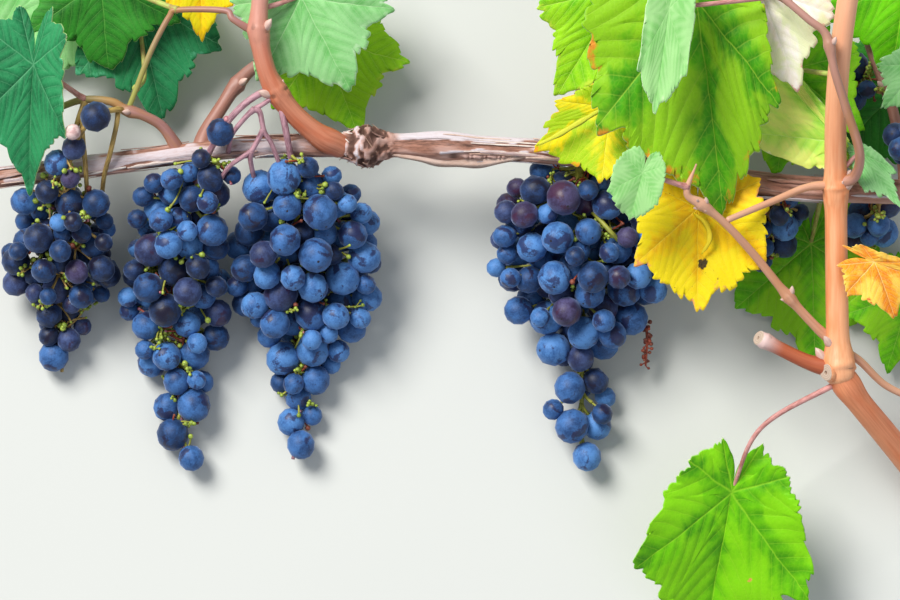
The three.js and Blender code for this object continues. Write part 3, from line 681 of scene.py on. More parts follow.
LEAF_FINISHES = {
    "bright": leaf_finish("bright_leaf", "6ccc02", "3c9402", "a8d83c", show=0.8),
    "low_bright": leaf_finish("low_bright_leaf", "6cc000", "388800", "9cd42c", None, "80cc08", show=0.7,
                              hole=(-0.28, 0.5, 0.016, "d89850")),
    "lime": leaf_finish("lime_leaf", "9cd818", "60b008", "c4e65c", "c0d840"),
    "mid": leaf_finish("mid_leaf", "70cc0c", "449a06", "9ccc48", None, "8ed018"),
    "deep": leaf_finish("deep_leaf", "2f8424", "145414", "5c9c40"),
    "teal": leaf_finish("teal_leaf", "2a8a54", "0e5c34", "6cb484", "54ac80", show=0.7),
    "turning": leaf_finish("turning_leaf", "4fa408", "2a7604", "98c038", "d8862a", "8cc018", 0.1),
    "pale": leaf_finish("pale_leaf", "92cb86", "62b058", "c2e2ae", "bce0b0", show=0.6),
    "silver": leaf_finish("silver_leaf", "98c982", "70b45c", "bcdca0", "b8d8a0", show=0.3),
    "soft_lime": leaf_finish("soft_lime_leaf", "ccf464", "98dc40", "e0f8a0", "f8f0d8", "e8f07c", show=0.5),
    "yellow": leaf_finish("yellow_leaf", "f8d000", "dca800", "f0d838", "d8781c", "d8cc08", 0.3),
    # Its near-black hole spot is painted shade seen through a hole in the leaf.
    "torn_yellow": leaf_finish("torn_yellow_leaf", "f8cc00", "dca400", "f0d838", "e0945c", "e8d410", 0.3,
                               hole=(-0.05, 0.53, 0.05, "2c2a1c")),
    "yellow_green": leaf_finish("yellow_green_leaf", "f0d400", "c0bc00", "e8e04c", "e09020", "88bc08", 0.2),
    "orange": leaf_finish("orange_leaf", "f6a41c", "e6780a", "f8dc94", "c85420", "f8cc50", 0.22),
    "cream": leaf_finish("cream_leaf", "faf2ec", "ece4cc", "fcfaf0", "e0a494", "e0e8b0", show=0.6),
}
UNDERSIDES = {
    "green": underside_finish("green_underside", "a2c87c", "d2e4a8"),
    "pale": underside_finish("pale_underside", "cfe0c0", "eef4de"),
    "yellow": underside_finish("yellow_underside", "efd870", "f6ecb4"),
}


# Limbs


# Along each limb in millimetres: knots as (place, swell, half-width), buds as (place, turn round it, scale)
# and scars as (place, turn, radius, height). Cuts says which ends are cut, slant how steeply, and point how
# long the stretch is that narrows to the far end.
LIMBS = completed(dict(
    knots=[], buds=[], scars=[], cuts=(False, True), step=0.8, slant=0.35, point=0), {
    "old_cane": dict(
        points=[(222, 49, 46), (195, 49, 46), (150, 51, 46), (100, 58.5, 46), (50, 66, 46), (0, 69, 46),
                (-38, 69.5, 46), (-90, 69, 45), (-150, 62, 43), (-205, 55, 40)],
        thick=5.6, thin=4.6, knots=[(226, 1.6, 12), (261, 4.2, 8)], slot="old_bark", finish="old_bark",
        spokes=64, step=0.6, cuts=(True, True)),
    "fruiting_shoot": dict(
        points=[(-50, 69.4, 48), (-59, 74, 53), (-70, 83.5, 57), (-78, 94, 60), (-82.5, 104, 62),
                (-85.5, 120, 64), (-84.8, 136, 65), (-84.5, 155, 66)],
        thick=5.0, thin=3.5, knots=[(39, 0.9, 6), (68, 1.0, 6)], slot="young_bark",
        finish="fruiting_shoot", spokes=40,
        buds=[(39, 2.6), (68, 0.6), (11, 2.5, 0.5), (14, 2.9, 0.45), (13, 2.1, 0.4), (40, 0.3, 0.5)]),
    "back_shoot": dict(
        points=[(-113, 67, 43), (-109.5, 77, 40), (-103, 88, 37), (-97, 97, 35), (-88, 106, 33),
                (-70, 114, 32)],
        thick=3.4, thin=2.6, knots=[(36, 0.8, 5)], slot="young_bark", finish="back_shoot", spokes=28,
        buds=[(36, 1.2)]),
    "left_shoot": dict(
        points=[(-121, 65, 43), (-129, 77.5, 48), (-138, 83, 52), (-146, 85.5, 53), (-152, 89, 54),
                (-164, 90, 54), (-174, 87, 53), (-183, 82.5, 51)],
        thick=2.7, thin=1.3, knots=[(33, 0.8, 4)], slot="red_stalk", finish="runner", spokes=22,
        buds=[(33, 1.8)]),
    "left_runner": dict(
        points=[(-87, 119.5, 63), (-97, 125.5, 64), (-101, 129.5, 62), (-122, 130, 58), (-126, 127, 57),
                (-134, 112, 56), (-142, 92, 54), (-144.5, 86, 53)],
        thick=1.5, thin=1.2, slot="red_stalk", finish="runner", spokes=16, cuts=(False, False)),
    "middle_shoot": dict(
        points=[(54.5, 65, 46), (56.3, 81, 43), (64, 101.3, 41), (73, 118, 41), (83.3, 135, 43),
                (92.3, 153, 45)],
        thick=4.3, thin=3.6, knots=[(40, 0.9, 6)], slot="young_bark", finish="back_shoot", spokes=32,
        buds=[(40, 0.8)]),
    "right_shoot": dict(
        points=[(206, 49, 44), (203.5, 72, 36), (199, 92.3, 33), (192, 110.3, 32), (186, 130.5, 32),
                (183, 150, 32)],
        thick=2.7, thin=2.0, knots=[(50, 0.7, 5)], slot="young_bark", finish="back_shoot", spokes=22,
        buds=[(50, 2.2)]),
    "upright_shoot": dict(
        points=[(174.8, -33, 53), (174, -13.5, 54), (173.4, 18, 56), (173, 49.5, 57.82), (172, 81, 70),
                (173.5, 112.5, 81), (179, 155, 92)],
        thick=5.3, thin=4.6, knots=[(2, 1.0, 8), (83, 1.2, 7)], slot="young_bark",
        finish="upright_shoot", spokes=40,
        buds=[(83, 0.5), (88, 0.2, 0.7), (86, 5.9, 0.6), (85, 1.1, 0.5), (12, 2.5)],
        scars=[(1.0, 2.46, 3.8, 1.6)]),
    "upright_foot": dict(
        points=[(174.8, -33, 53), (184, -45.5, 46.5), (194.5, -57.5, 36), (205.5, -70, 24.5),
                (217.5, -84, 13), (228, -96, 6.4)],
        thick=5.4, thin=6.2, slot="young_bark", finish="foot", spokes=40),
    "pruned_stub": dict(
        points=[(173.5, -31, 53), (160, -27.5, 54), (138.5, -17, 56)],
        thick=3.5, thin=3.0, knots=[(35, 0.7, 4)], slot="young_bark", finish="stub", spokes=28,
        slant=0.45, buds=[(5, 0.15, 1.6)]),
    "long_lateral": dict(
        points=[(173.9, -19, 51), (166, -13.5, 52), (151, 2.2, 58), (136.4, 19.5, 66), (122.5, 34, 74),
                (112, 42.3, 79), (105, 47.5, 82), (109, 60, 85)],
        thick=2.2, thin=1.5, knots=[(31, 0.9, 4), (92, 1.1, 5)], slot="red_stalk", finish="lateral",
        spokes=20,
        buds=[(31, 0.4), (31, 3.0, 0.6), (91, 0.6, 0.9), (92, 3.4, 0.7), (95, 1.4, 0.6), (89, 2.2, 0.5)],
        cuts=(False, False), point=14),
    "short_lateral": dict(
        points=[(174, -22, 51), (184, -27, 48), (196, -38, 42), (210, -45, 38)],
        thick=1.9, thin=1.5, slot="red_stalk", finish="lateral", spokes=18),
    "cross_stalk": dict(
        points=[(172.5, 51.5, 59), (160, 50.5, 61), (145, 44.5, 66), (124, 35.8, 74)],
        thick=1.8, thin=1.4, slot="red_stalk", finish="lateral", spokes=18, cuts=(False, False)),
    "front_lateral": dict(
        points=[(174, 52, 60), (181, 55.5, 65), (182, 66, 76), (175.5, 85, 84), (170, 101, 89),
                (166, 117, 91), (158, 124, 92), (144, 136, 92)],
        thick=2.3, thin=1.6, knots=[(76, 0.9, 4)], slot="red_stalk", finish="front_lateral", spokes=20,
        buds=[(76, 0.7)]),
})
POINT_TAPER = 0.72
COLLAR = 0.22
COLLAR_LENGTH = 7.0
DOME_TURNS = np.radians([12, 28, 44, 60, 76])
SLANT_LENGTH = 9.0
BUD_LENGTH = 1.9
BUD_WIDTH = 1.3
BUD_SPOKES = 12
SCAR_SPOKES = 20
STRIP_SPOKES = 12
STRIP_THICKNESS = 0.2
RIBBON_SPOKES = 14

# The old cane's knob, its split with a row of dead buds, and its weathered parts, in millimetres along it
KNOB_AT = 261.0
KNOB_HALF = 10.5
BURR = (255.0, 7)
SPLIT_AT = 206.0
SPLIT_HALF = 26.0
SPLIT_TURN = 2.4
ROW_STEP = 3.3
ROW_ENDS = ((195, 200), (216, 219))
CRACK_ENDS = ((150, 175), (238, 252))
PALE_PLATE_ENDS = ((120, 170), (244, 254))
PALE_FROM = (272, 300)

# Its loose bark before the knob, past it and on it: how many strips, the least and the most of where
# they start along it and round it, of their length and of their lift, how far they drift round it, and
# the share of them that is dark
LOOSE_BARK = (
    (24, (20, 178), (-0.3, 3.4), (16, 48), (0.3, 1.2), 0.2, 0.5),
    (20, (285, 420), (-0.3, 3.4), (12, 42), (0.2, 0.9), 0.2, 0.5),
    (42, (252, 270), (0, 2 * np.pi), (2.5, 6), (0.3, 1.5), 0.7, 0.75),
)
STRIP_WIDTHS = (0.8, 2.3)
SPLIT_STRIPS = ((184, 1.85), (180, 2.05), (186, 2.95), (190, 3.1), (176, 0.9), (182, 1.2), (196, 0.6))
SPLIT_LIP = [(-29, 66.4, 49.5), (-13, 64.0, 48.5), (2.3, 62.2, 47.5), (18, 62.6, 48), (30, 64.6, 49),
             (39, 66.2, 49.8)]


def limb_radius(limb, along, length):
    """The source's radius: an even taper, with a hump at each knot. A limb with a point narrows quickly
    where that begins."""
    radius = blend(limb["thick"], limb["thin"], along / length)
    for at, swell, half in limb["knots"]:
        radius = radius + swell * hump(along, at, half)
    if limb["point"]:
        radius = radius * (1 - POINT_TAPER * rise(along, length - limb["point"] - 0.01, length + 0.01))
    return radius


def old_relief(along, turn):
    """Old bark, in millimetres: long strands and coarse plates with torn ends, lumps and pits at the knob,
    and a lens-shaped split with a row of dead buds in it. Gives the height, and from 0 to 1 how far out
    of the bark a point stands, how weathered it is and how dark: darker on the knob's near side and along
    the cracks, with painted shade in the knob's pits, between the dead buds and in a deep hole past the row."""
    share = turn / (2 * np.pi)
    strands = grain(1, along / 22, share * 26, 26) * 0.55 + grain(2, along / 9, share * 52, 52) * 0.45
    plates = rise(grain(3, along / 30, share * 9, 9) + 0.25 * grain(4, along / 5, share * 18, 18), 0.55, 0.66)
    height = 0.9 * (strands - 0.5) + 0.4 * (plates - 0.5)

    knob = hump(along, KNOB_AT, KNOB_HALF)
    lumps = grain(5, along / 2.6, share * 15, 15) * 0.6 + grain(6, along / 1.2, share * 31, 31) * 0.4
    height = height * (1 - knob) + knob * 4.6 * (lumps - 0.45)

    inside = 1 - np.hypot((along - SPLIT_AT) / SPLIT_HALF, (turn - SPLIT_TURN) / 0.5)
    split = rise(inside + 0.12 * (strands - 0.5), 0.0, 0.22)
    bud = np.abs(np.sin((along - SPLIT_AT + 1.2 * np.sin(along)) * np.pi / ROW_STEP)) ** 0.7
    row = hump(turn, SPLIT_TURN + 0.06 * np.sin(along), 0.2) * window(along, *ROW_ENDS)
    dead_buds = (1.2 + 1.4 * grain(8, along / ROW_STEP, share * 5, 5)) * row * bud
    height = height * (1 - split) - 0.8 * split + dead_buds
    crack = hump(turn, 0.75 + 0.25 * np.sin(along / 31), 0.05) * window(along, *CRACK_ENDS)
    height = height - 0.9 * crack

    above = rise(np.sin(turn + 0.5) * 0.5 + 0.5 + 0.4 * (plates - 0.5), 0.45, 1.1)
    rough = 0.5 + 0.5 * plates
    pale = 0.6 * window(along, *PALE_PLATE_ENDS) * rough + 0.5 * rise(along, *PALE_FROM) * rough
    weathered = above * (pale + 0.12)
    far_side = rise(along, KNOB_AT - 5, KNOB_AT + 7)
    weathered = weathered * (1 - split) * (1 - knob) + 0.9 * knob * far_side * rise(lumps, 0.52, 0.64)
    # Darker on the knob's near side and along the cracks, and painted shade in the knob's pits, where the
    # lumps are lowest.
    dark = knob * (0.72 * (1 - far_side) + 1.2 * rise(0.6 - lumps, 0, 0.14)) + 0.9 * crack
    # Painted shade in the gaps between the dead buds of the row.
    dark = dark + 0.5 * split * row * (1 - bud)
    # Painted shade: a dark spot that stands for a deep hole just past the row's end, in the split.
    dark = dark + 0.8 * hump(along, SPLIT_AT + 0.6 * SPLIT_HALF, 3.5) * split
    relief = 0.5 + height * 0.5 + 0.55 * split * (1 - row) - 0.3 * knob * (1 - far_side)
    return height, np.clip(relief, 0, 1), np.clip(weathered, 0, 1.3), np.clip(dark, 0, 1)


def young_relief(along, turn, knots, radius, length, seed):
    """A young shoot, in millimetres: faint ribs along it, and at each node a ridge round it and dents.
    Also how far along each point is, and how scorched."""
    share = turn / (2 * np.pi)
    ribs = grain(seed, along / 60, share * 12, 12) * 0.7 + grain(seed + 1, along / 25, share * 26, 26) * 0.3
    height = 0.03 * radius * (ribs - 0.5)
    darkened = 0 * along
    for at, _, half in knots:
        near = hump(along, at, half * 0.9)
        dents = grain(seed + 2, along / 2.4, share * 9, 9)
        height = height + near * 0.14 * radius * (dents - 0.5)
        height = height + 0.06 * radius * hump(along, at + 1.4 * np.sin(turn), 0.9)
        darkened = darkened + 0.7 * near * rise(0.36 - dents, 0, 0.2)
    return height, 0.2 + 0.6 * ribs, along / length, np.clip(darkened, 0, 1)


def end_rings(radius, cut):
    """The rings past a limb's end, from the limb outwards: how far each stands beyond it, in millimetres,
    and its share of the end's radius. A cut end has a bevelled edge, flat wood and a hollow at the pith,
    and any other end is half an ellipsoid, with rings at 0.85 radius cos turn, of size sin turn."""
    if cut:
        return np.array([0.25, 0.3, 0.25, -0.3]), np.array([0.93, 0.6, 0.22, 0.16])
    turns = DOME_TURNS[::-1]
    return 0.85 * radius * np.cos(turns), np.sin(turns)


def add_limb(skin, limb, seed):
    """A limb's skin: rings every step along its curve, at the source's radius with a collar where it
    grows from its parent, and the bark's relief. A cut slants: its edge is pushed back on the upper side."""
    path = Path(limb["points"])
    cuts, spokes = limb["cuts"], limb["spokes"]
    along = np.linspace(0, path.length, int(path.length / limb["step"]))
    turn = round_angles(spokes)
    grid, turns = np.meshgrid(along, turn, indexing="ij")
    radius = limb_radius(limb, grid, path.length)
    if not cuts[0]:
        radius = radius * (1 + COLLAR * hump(grid, limb["thick"] * 1.2, COLLAR_LENGTH))
    if limb["finish"] == "old_bark":
        height, *wear = old_relief(grid, turns)
    else:
        height, *wear = young_relief(grid, turns, limb["knots"], radius, path.length, seed)
    radii = radius + height
    wear = np.stack(wear, axis=-1)

    (near, near_share), (far, far_share) = (end_rings(radii[end].mean(), cuts[end]) for end in (0, -1))
    ends = [CUT if cut else BARK for cut in cuts]
    wood = np.repeat([ends[0], BARK, ends[1]], [len(near), len(along), len(far)])
    along = np.concatenate([-near[::-1], along, path.length + far])
    radii = np.vstack([near_share[::-1, None] * radii[0], radii, far_share[:, None] * radii[-1]])
    rows = np.clip(np.arange(len(along)) - len(near), 0, len(wear) - 1)
    wear = wear[rows].reshape(-1, 3)

    ahead = path.ahead(along)
    side, up = crosswise(ahead)
    centres = path.at(along)
    points, quads, fan, far_fan = tubes(centres[None], side[None], up[None], radii[None],
                                        centres[:1], centres[-1:])
    back = cuts[1] * rise(along, path.length - SLANT_LENGTH, path.length)
    back = back - cuts[0] * (1 - rise(along, 0, SLANT_LENGTH))
    push = (limb["slant"] * back)[:, None] * radii * np.sin(turn)
    points[1:-1] -= (push[..., None] * ahead[:, None]).reshape(-1, 3)
    finish = np.repeat(np.maximum(wood[:-1], wood[1:]), spokes)
    faces = [(quads[finish == BARK], BARK, False), (quads[finish == CUT], CUT, True)]
    faces += [(fan, ends[0], cuts[0]), (far_fan, ends[1], cuts[1])]
    skin.add(points, faces, unbent(along[None], radii[None]), np.concatenate([wear[:1], wear, wear[-1:]]))
    return path


def add_buds(skin, limb, path):
    """A pointed bud beside each node: its radius is the root of its length times the share left to the
    tip, and it leans out from the limb."""
    for at, turn, *scale in limb["buds"]:
        radius = limb_radius(limb, at, path.length)
        centre = path.at(np.array([at]))
        ahead = path.ahead(np.array([at]))
        side, up = crosswise(ahead)
        outward = np.cos(turn) * side + np.sin(turn) * up
        size = (0.55 * radius + 0.9) * (scale[0] if scale else 1)
        axis = unit(ahead * 0.9 + outward * 0.8)
        start = centre + outward * radius * 0.6
        share = np.linspace(0.04, 0.97, 9)
        along = share * size * BUD_LENGTH
        width = size * BUD_WIDTH * np.sqrt(share) * (1 - share) ** 0.9
        scales = 1 + 0.08 * np.cos(3 * round_angles(BUD_SPOKES) + share[:, None] * 5)
        bud_side, bud_up = any_crosswise(np.repeat(axis, len(share), axis=0))
        tip = start + axis * size * BUD_LENGTH
        add_tube(skin, start + axis * along[:, None], bud_side, bud_up, width[:, None] * scales, start, tip,
                 along, BUD, wear=(0.5, 0.1, 0.1))


def add_scars(skin, limb, path):
    """The round cut of a twig that was taken off close to the limb: a short tube that stands out from it
    at the given height, with a cut end like the limb's own."""
    for at, turn, radius, height in limb["scars"]:
        side, up = crosswise(path.ahead(np.array([at])))
        outward = np.cos(turn) * side + np.sin(turn) * up
        far = limb_radius(limb, at, path.length) + height
        beyond, share = end_rings(radius, True)
        out = np.concatenate([[0.5 * far, far - 0.4, far], far + beyond])
        wide = np.concatenate([[1.25, 1.04, 1.0], share]) * radius
        radii = (wide[:, None] * (1 + 0.07 * np.sin(3 * round_angles(SCAR_SPOKES))))[None]
        centres = (path.at(np.array([at])) + outward * out[:, None])[None]
        scar_side, scar_up = any_crosswise(np.repeat(outward, len(out), axis=0))
        points, quads, fan, far_fan = tubes(centres, scar_side[None], scar_up[None], radii,
                                            centres[:, 0], centres[:, -1])
        bark = 2 * SCAR_SPOKES
        faces = [(quads[:bark], BARK, False), (quads[bark:], CUT, True)]
        faces += [(fan, BARK, False), (far_fan, CUT, True)]
        skin.add(points, faces, unbent(out[None], radii), (0.5, 0.1, 0.3))


def add_peeling(skin, limb, path, start, length, turn, drift, width, lift, finish):
    """A strip of loose bark: an elliptic section carried along the limb's side, turning round it by the
    drift, narrowing as the root of the sine of the share, and lifting off as the cube of the share at its
    far end and a third as much at its near end. It is darker near the knob."""
    share = np.linspace(0, 1, max(8, int(length / 1.2)))
    along = start + length * share
    angle = (turn + drift * share)[:, None]
    side, up = crosswise(path.ahead(along))
    outward = np.cos(angle) * side + np.sin(angle) * up
    across = np.cos(angle) * up - np.sin(angle) * side
    off = lift * (share**3 + (1 - share) ** 3 / 3)
    centres = path.at(along) + (limb_radius(limb, along, path.length) + 0.15 + off)[:, None] * outward
    narrowing = np.sin(np.pi * np.clip(share, 0.06, 0.94)) ** 0.5
    half = width / 2 * narrowing * (1 + 0.25 * np.sin(share * 17 + turn * 9))
    radii = ellipse(half, STRIP_THICKNESS, round_angles(STRIP_SPOKES) + np.pi / 2)
    burr = hump(start, *BURR)
    pale = (0.2 + 0.5 * np.abs(np.sin(start * 3.7))) * (1 - 0.9 * burr)
    add_tube(skin, centres, outward, across, radii, centres[:1], centres[-1:], along, finish,
             wear=(0.5, pale, 0.7 * burr))


def add_old_bark(skin, limb, path):
    """What the old cane's bark has come loose into: torn strips along it, curled flakes round the knob,
    and the long lip that hangs below the split."""
    rng = np.random.default_rng(7)
    for count, places, turns, lengths, lifts, drifts, dark in LOOSE_BARK:
        for start in rng.uniform(*places, count):
            turn = rng.uniform(*turns)
            drift = rng.normal(0, drifts)
            length = rng.uniform(*lengths)
            width = rng.uniform(*STRIP_WIDTHS)
            lift = rng.uniform(*lifts)
            finish = LOOSE if rng.random() < dark else PEELED
            add_peeling(skin, limb, path, start, length, turn, drift, width, lift, finish)
    for start, turn in SPLIT_STRIPS:
        length = rng.uniform(30, 46)
        drift = rng.normal(0, 0.06)
        width = rng.uniform(0.7, 1.3)
        lift = rng.uniform(0.1, 0.4)
        add_peeling(skin, limb, path, start, length, turn, drift, width, lift, PEELED)
    add_ribbon(skin, SPLIT_LIP, half_width=2.7, half_thick=0.3, finish=PEELED)


def add_ribbon(skin, points, half_width, half_thick, finish):
    """A flat strip through points, as an ellipse carried along them that narrows to both ends."""
    path = Path(points)
    along = np.linspace(0, path.length, int(path.length))
    side, up = crosswise(path.ahead(along))
    share = along / path.length
    half = half_width * np.sin(np.pi * np.clip(share, 0.04, 0.96)) ** 0.6 * (1 + 0.15 * np.sin(share * 23))
    radii = ellipse(half, half_thick, round_angles(RIBBON_SPOKES))
    centres = path.at(along)
    add_tube(skin, centres, side, up, radii, centres[:1], centres[-1:], along, finish,
             wear=(0.6, 0.35, 0.0))


def ellipse(wide, thick, turn):
    """The distance to an ellipse's edge at each angle from its wide half-axis: wide times thick, divided
    by the root of (thick cos turn)² + (wide sin turn)²."""
    wide = wide[:, None]
    return wide * thick / np.hypot(thick * np.cos(turn), wide * np.sin(turn))


def make_limb(name, limb, seed):
    """One limb's piece: bark, cut wood and buds, and on the old cane its loose bark."""
    skin = Skin()
    path = add_limb(skin, limb, seed)
    add_buds(skin, limb, path)
    add_scars(skin, limb, path)
    finishes = [WOOD[limb["finish"]], WOOD["cut_wood"], WOOD["bud"]]
    if limb["finish"] == "old_bark":
        add_old_bark(skin, limb, path)
        finishes += [WOOD["peeled_bark"], WOOD["old_bark"]]
    skin.piece(name + "_bark", name, finishes)


# Bunches


# A bunch's half-widths are at even steps along its stalk, and its depth is its height as a share of its
# width. Berry is the middle radius of its large berries, bare the share of the stalk before the first of
# them, and tries how many are tried. Tufts_to is the share of the stalk that has tufts. Weights are for
# the grape finishes in turn, extras and sprigs are further stalks, and unripe is a stalk's foot, a
# berry's middle and its radius.
BUNCHES = completed(dict(
    depth=0.6, thick=1.3, bare=0.25, tufts_to=0.94, extras=[], sprigs=[], unripe=[]), {
    "front_bunch": dict(
        stalk=[(58, 64, 46), (59, 45, 34), (61, 0, 14), (60, -74, 9)],
        half_widths=[0, 24, 35, 42, 44, 45, 42, 27, 18, 18, 9], berry=7, thick=2.0, bare=0.07,
        tries=520, seed=11, weights=[6, 8, 3, 2, 1, 0], stems="green",
        extras=[[(60, 44, 34), (66, 38, 44), (72, 31, 49), (76, 27, 46)]],
        sprigs=[[(84, -6, 14), (89, -11, 17), (90, -19, 16), (89.5, -30, 13)]],
        tufts_to=0.6),
    "centre_bunch": dict(
        stalk=[(-77, 94, 59), (-72, 66, 70), (-58, 10, -5), (-72, -73, 9)],
        half_widths=[0, 0, 0, 14, 30, 38, 38, 34, 19, 13, 8], berry=7, thick=1.6, tries=620, seed=23,
        weights=[7, 8, 4, 1, 0, 1], stems="green",
        extras=[
            [(-78, 92, 60), (-83, 88, 63), (-87.3, 85.5, 63.5)],
            [(-87.3, 85.5, 63.5), (-91.3, 81.9, 63), (-97.6, 74.3, 58), (-99.8, 66.4, 51)],
            [(-87.3, 85.5, 63.5), (-85, 83.7, 63.5), (-83.2, 75.6, 61), (-80.1, 70.3, 58.5),
             (-76.1, 60, 53), (-72, 51, 42)],
            [(-83.4, 76.5, 61), (-88.2, 68, 58.5), (-90.4, 65.8, 58), (-98.5, 60.4, 55),
             (-103, 54.6, 50), (-105.2, 49, 42)],
            [(-89.2, 67, 58.2), (-89.5, 62.2, 55.5), (-87.3, 50.1, 43)],
        ],
        main="mauve"),
    "left_bunch": dict(
        stalk=[(-79, 95, 59), (-112, 84, 82), (-134, 22, 0), (-121, -75, 9)],
        half_widths=[0, 0, 0, 8, 20, 27, 28, 31, 23, 16, 8], berry=6.8, thick=1.6, bare=0.27, tries=380,
        seed=37, weights=[4, 7, 5, 2, 0, 2], stems="green", main="mauve"),
    "far_bunch": dict(
        stalk=[(-146, 85.5, 53), (-172, 86, 94), (-180, 48, 13), (-178, -33, 6.5)],
        half_widths=[0, 0, 7, 7, 5, 16, 27, 31, 31, 16, 8], berry=6.2, bare=0.18, tries=260, seed=53,
        weights=[1, 3, 7, 4, 1, 6], stems="tan",
        extras=[
            [(-164, 89.5, 54), (-167, 80, 57), (-172, 62, 50), (-179, 46, 28)],
            [(-164, 89, 54), (-165, 78, 57), (-163.8, 57.6, 50), (-164.7, 34, 24)],
            [(-149, 87, 54), (-149.5, 79, 57), (-152.6, 66.2, 53.5), (-156.2, 54.9, 44),
             (-159, 38.7, 24)],
        ],
        unripe=(-166.6, 79, 57.5, -168.4, 75, 67, 3.7)),
    "right_bunch": dict(
        stalk=[(148, 51, 46), (149, 44, 34), (147, 34, 18), (144, 19, 12)],
        half_widths=[0, 12, 17, 18, 14, 9], depth=0.8, berry=6.4, tries=120, seed=61,
        weights=[2, 6, 6, 1, 0, 2], stems="tan"),
    "end_bunch": dict(
        stalk=[(196, 49, 46), (193, 42, 36), (191, 34, 24), (190, 28, 16)],
        half_widths=[0, 9, 15, 17, 15, 10], depth=0.9, berry=6.6, tries=90, seed=67,
        weights=[2, 5, 6, 1, 0, 2], stems="tan"),
    "edge_bunch": dict(
        stalk=[(203.5, 70, 36), (206, 75, 48), (206, 70, 60), (203, 61, 60)],
        half_widths=[0, 9, 12, 13, 12, 9], depth=0.9, berry=5.8, thick=1.1, bare=0.4, tries=70, seed=79,
        weights=[2, 5, 6, 1, 0, 2], stems="tan"),
    "top_bunch": dict(
        stalk=[(199, 93, 33), (190, 98, 30), (178, 102, 20), (164, 97, 15)],
        half_widths=[0, 8, 15, 17, 15, 9], depth=0.9, berry=6.8, tries=120, seed=71,
        weights=[2, 5, 7, 1, 0, 2], stems="tan"),
})
BERRY_RINGS = np.radians([26, 58, 90, 122, 154])
BERRY_SPOKES = 12
BEAD_RINGS = np.radians([45, 90, 135])
BEAD_SPOKES = 6
WRINKLED_SHARE = 0.08
CREASE = 0.16
HUB_STRETCH = 11.0
HUB_SECTORS = 4
HUB_BEFORE = 7.0
EXTRA_SHAPE = dict(thick=1.2, thin=0.95, step=1.0, spokes=10, swellings=((0, 0.35, 2.5), (1, 0.25, 2.5)))
SPRIG_SHAPE = dict(thick=0.8, thin=0.45, step=0.8, spokes=8)
SPRIG_TWIG_STEP = 0.7

# The tufts of tiny berries: how many are tried at a hub, how far from it, and how far from the next berry
TUFT_TRIES = 40
TUFT_REACH = (4, 17)
TUFT_CLEAR = (0.5, 2.8)
TUFT_LOWEST = 2.5
TUFT_HIDES = 0.72
TUFT_PAST_BERRY = 1.5
RED_SHARE = 0.2
FORKED_SHARE = 0.3
FORK_RAYS = 5
FORK_REACH = (1.8, 3.6)
FORK_CLEAR = 0.6


def stalk_frame(stalk, shares):
    """Points of the bunch's main stalk, one cubic arc, and the two directions across it."""
    a, b, c, d = (np.array(p, float) for p in stalk)
    t = np.atleast_1d(shares)[:, None]
    point = (1 - t) ** 3 * a + 3 * t * (1 - t) ** 2 * b + 3 * t**2 * (1 - t) * c + t**3 * d
    ahead = 3 * (1 - t) ** 2 * (b - a) + 6 * t * (1 - t) * (c - b) + 3 * t**2 * (d - c)
    side, up = crosswise(unit(ahead))
    return point, side, up


def space_of_limbs():
    """The space that the limbs take, as balls along every limb, as (x, y, z, radius) rows."""
    balls = []
    for limb in LIMBS.values():
        path = Path(limb["points"])
        count = round(path.length / SPACE_STEP)
        along = path.length * np.arange(count + 1) / count
        balls.append(np.column_stack([path.at(along), limb_radius(limb, along, path.length) + JOINT_GAP]))
    return np.vstack(balls)


def settle_berry(bunch, share, turn, radius, found, taken):
    """The source's rule: a berry moves out from the stalk to the first free place, past the berries that
    it meets. It is dropped where something taken is in its way, and one near the ground lies on it."""
    stalk = blend(bunch["thick"], STALK_TIP, share)
    widths = bunch["half_widths"]
    outer = max(0.0, np.interp(share * (len(widths) - 1), np.arange(len(widths)), widths) - radius)
    point, side, up = stalk_frame(bunch["stalk"], share)
    out = np.arange(min(stalk + BERRY_SEAT * radius, outer), outer + 1e-9, SLIDE_STEP)[:, None]
    centres = point + side * np.cos(turn) * out + up * np.sin(turn) * out * bunch["depth"]
    sunk = centres[:, 2] < radius - LYING_WITHIN
    centres[:, 2] = np.maximum(centres[:, 2], radius)
    blocked = np.zeros(len(centres), bool)
    if len(found):
        gaps = np.linalg.norm(centres[:, None] - found[None, :, :3], axis=2)
        blocked = (gaps < (found[:, 3] + radius) * BERRY_CONTACT).any(axis=1)
    stops = np.nonzero(sunk | ~blocked)[0]
    if not len(stops) or sunk[stops[0]]:
        return None
    centre = centres[stops[0]]
    if (np.linalg.norm(taken[:, :3] - centre, axis=1) < taken[:, 3] + radius * BERRY_GAIN).any():
        return None
    return np.append(centre, radius)


def berries_of(bunch, taken):
    """The source's berries, dealt in turns round the stalk and fewer on the underside, and then as many
    smaller ones tried in the gaps. Rows of (x, y, z, radius), and each one's share along the stalk."""
    random = dice(bunch["seed"])
    found = np.empty((0, 4))
    shares = []
    for i in range(2 * bunch["tries"]):
        share = bunch["bare"] + (1 - bunch["bare"]) * next(random)
        turn = i * GOLDEN_ANGLE + next(random)
        radius = bunch["berry"] * (1 - BERRY_SPREAD + 2 * BERRY_SPREAD * next(random))
        if i >= bunch["tries"]:
            radius *= SMALL_BERRY
        if np.sin(turn) < UNDERSIDE and i % 2:
            continue
        berry = settle_berry(bunch, share, turn, radius, found, taken)
        if berry is not None:
            found = np.vstack([found, berry])
            shares.append(share)
    return found, np.array(shares)


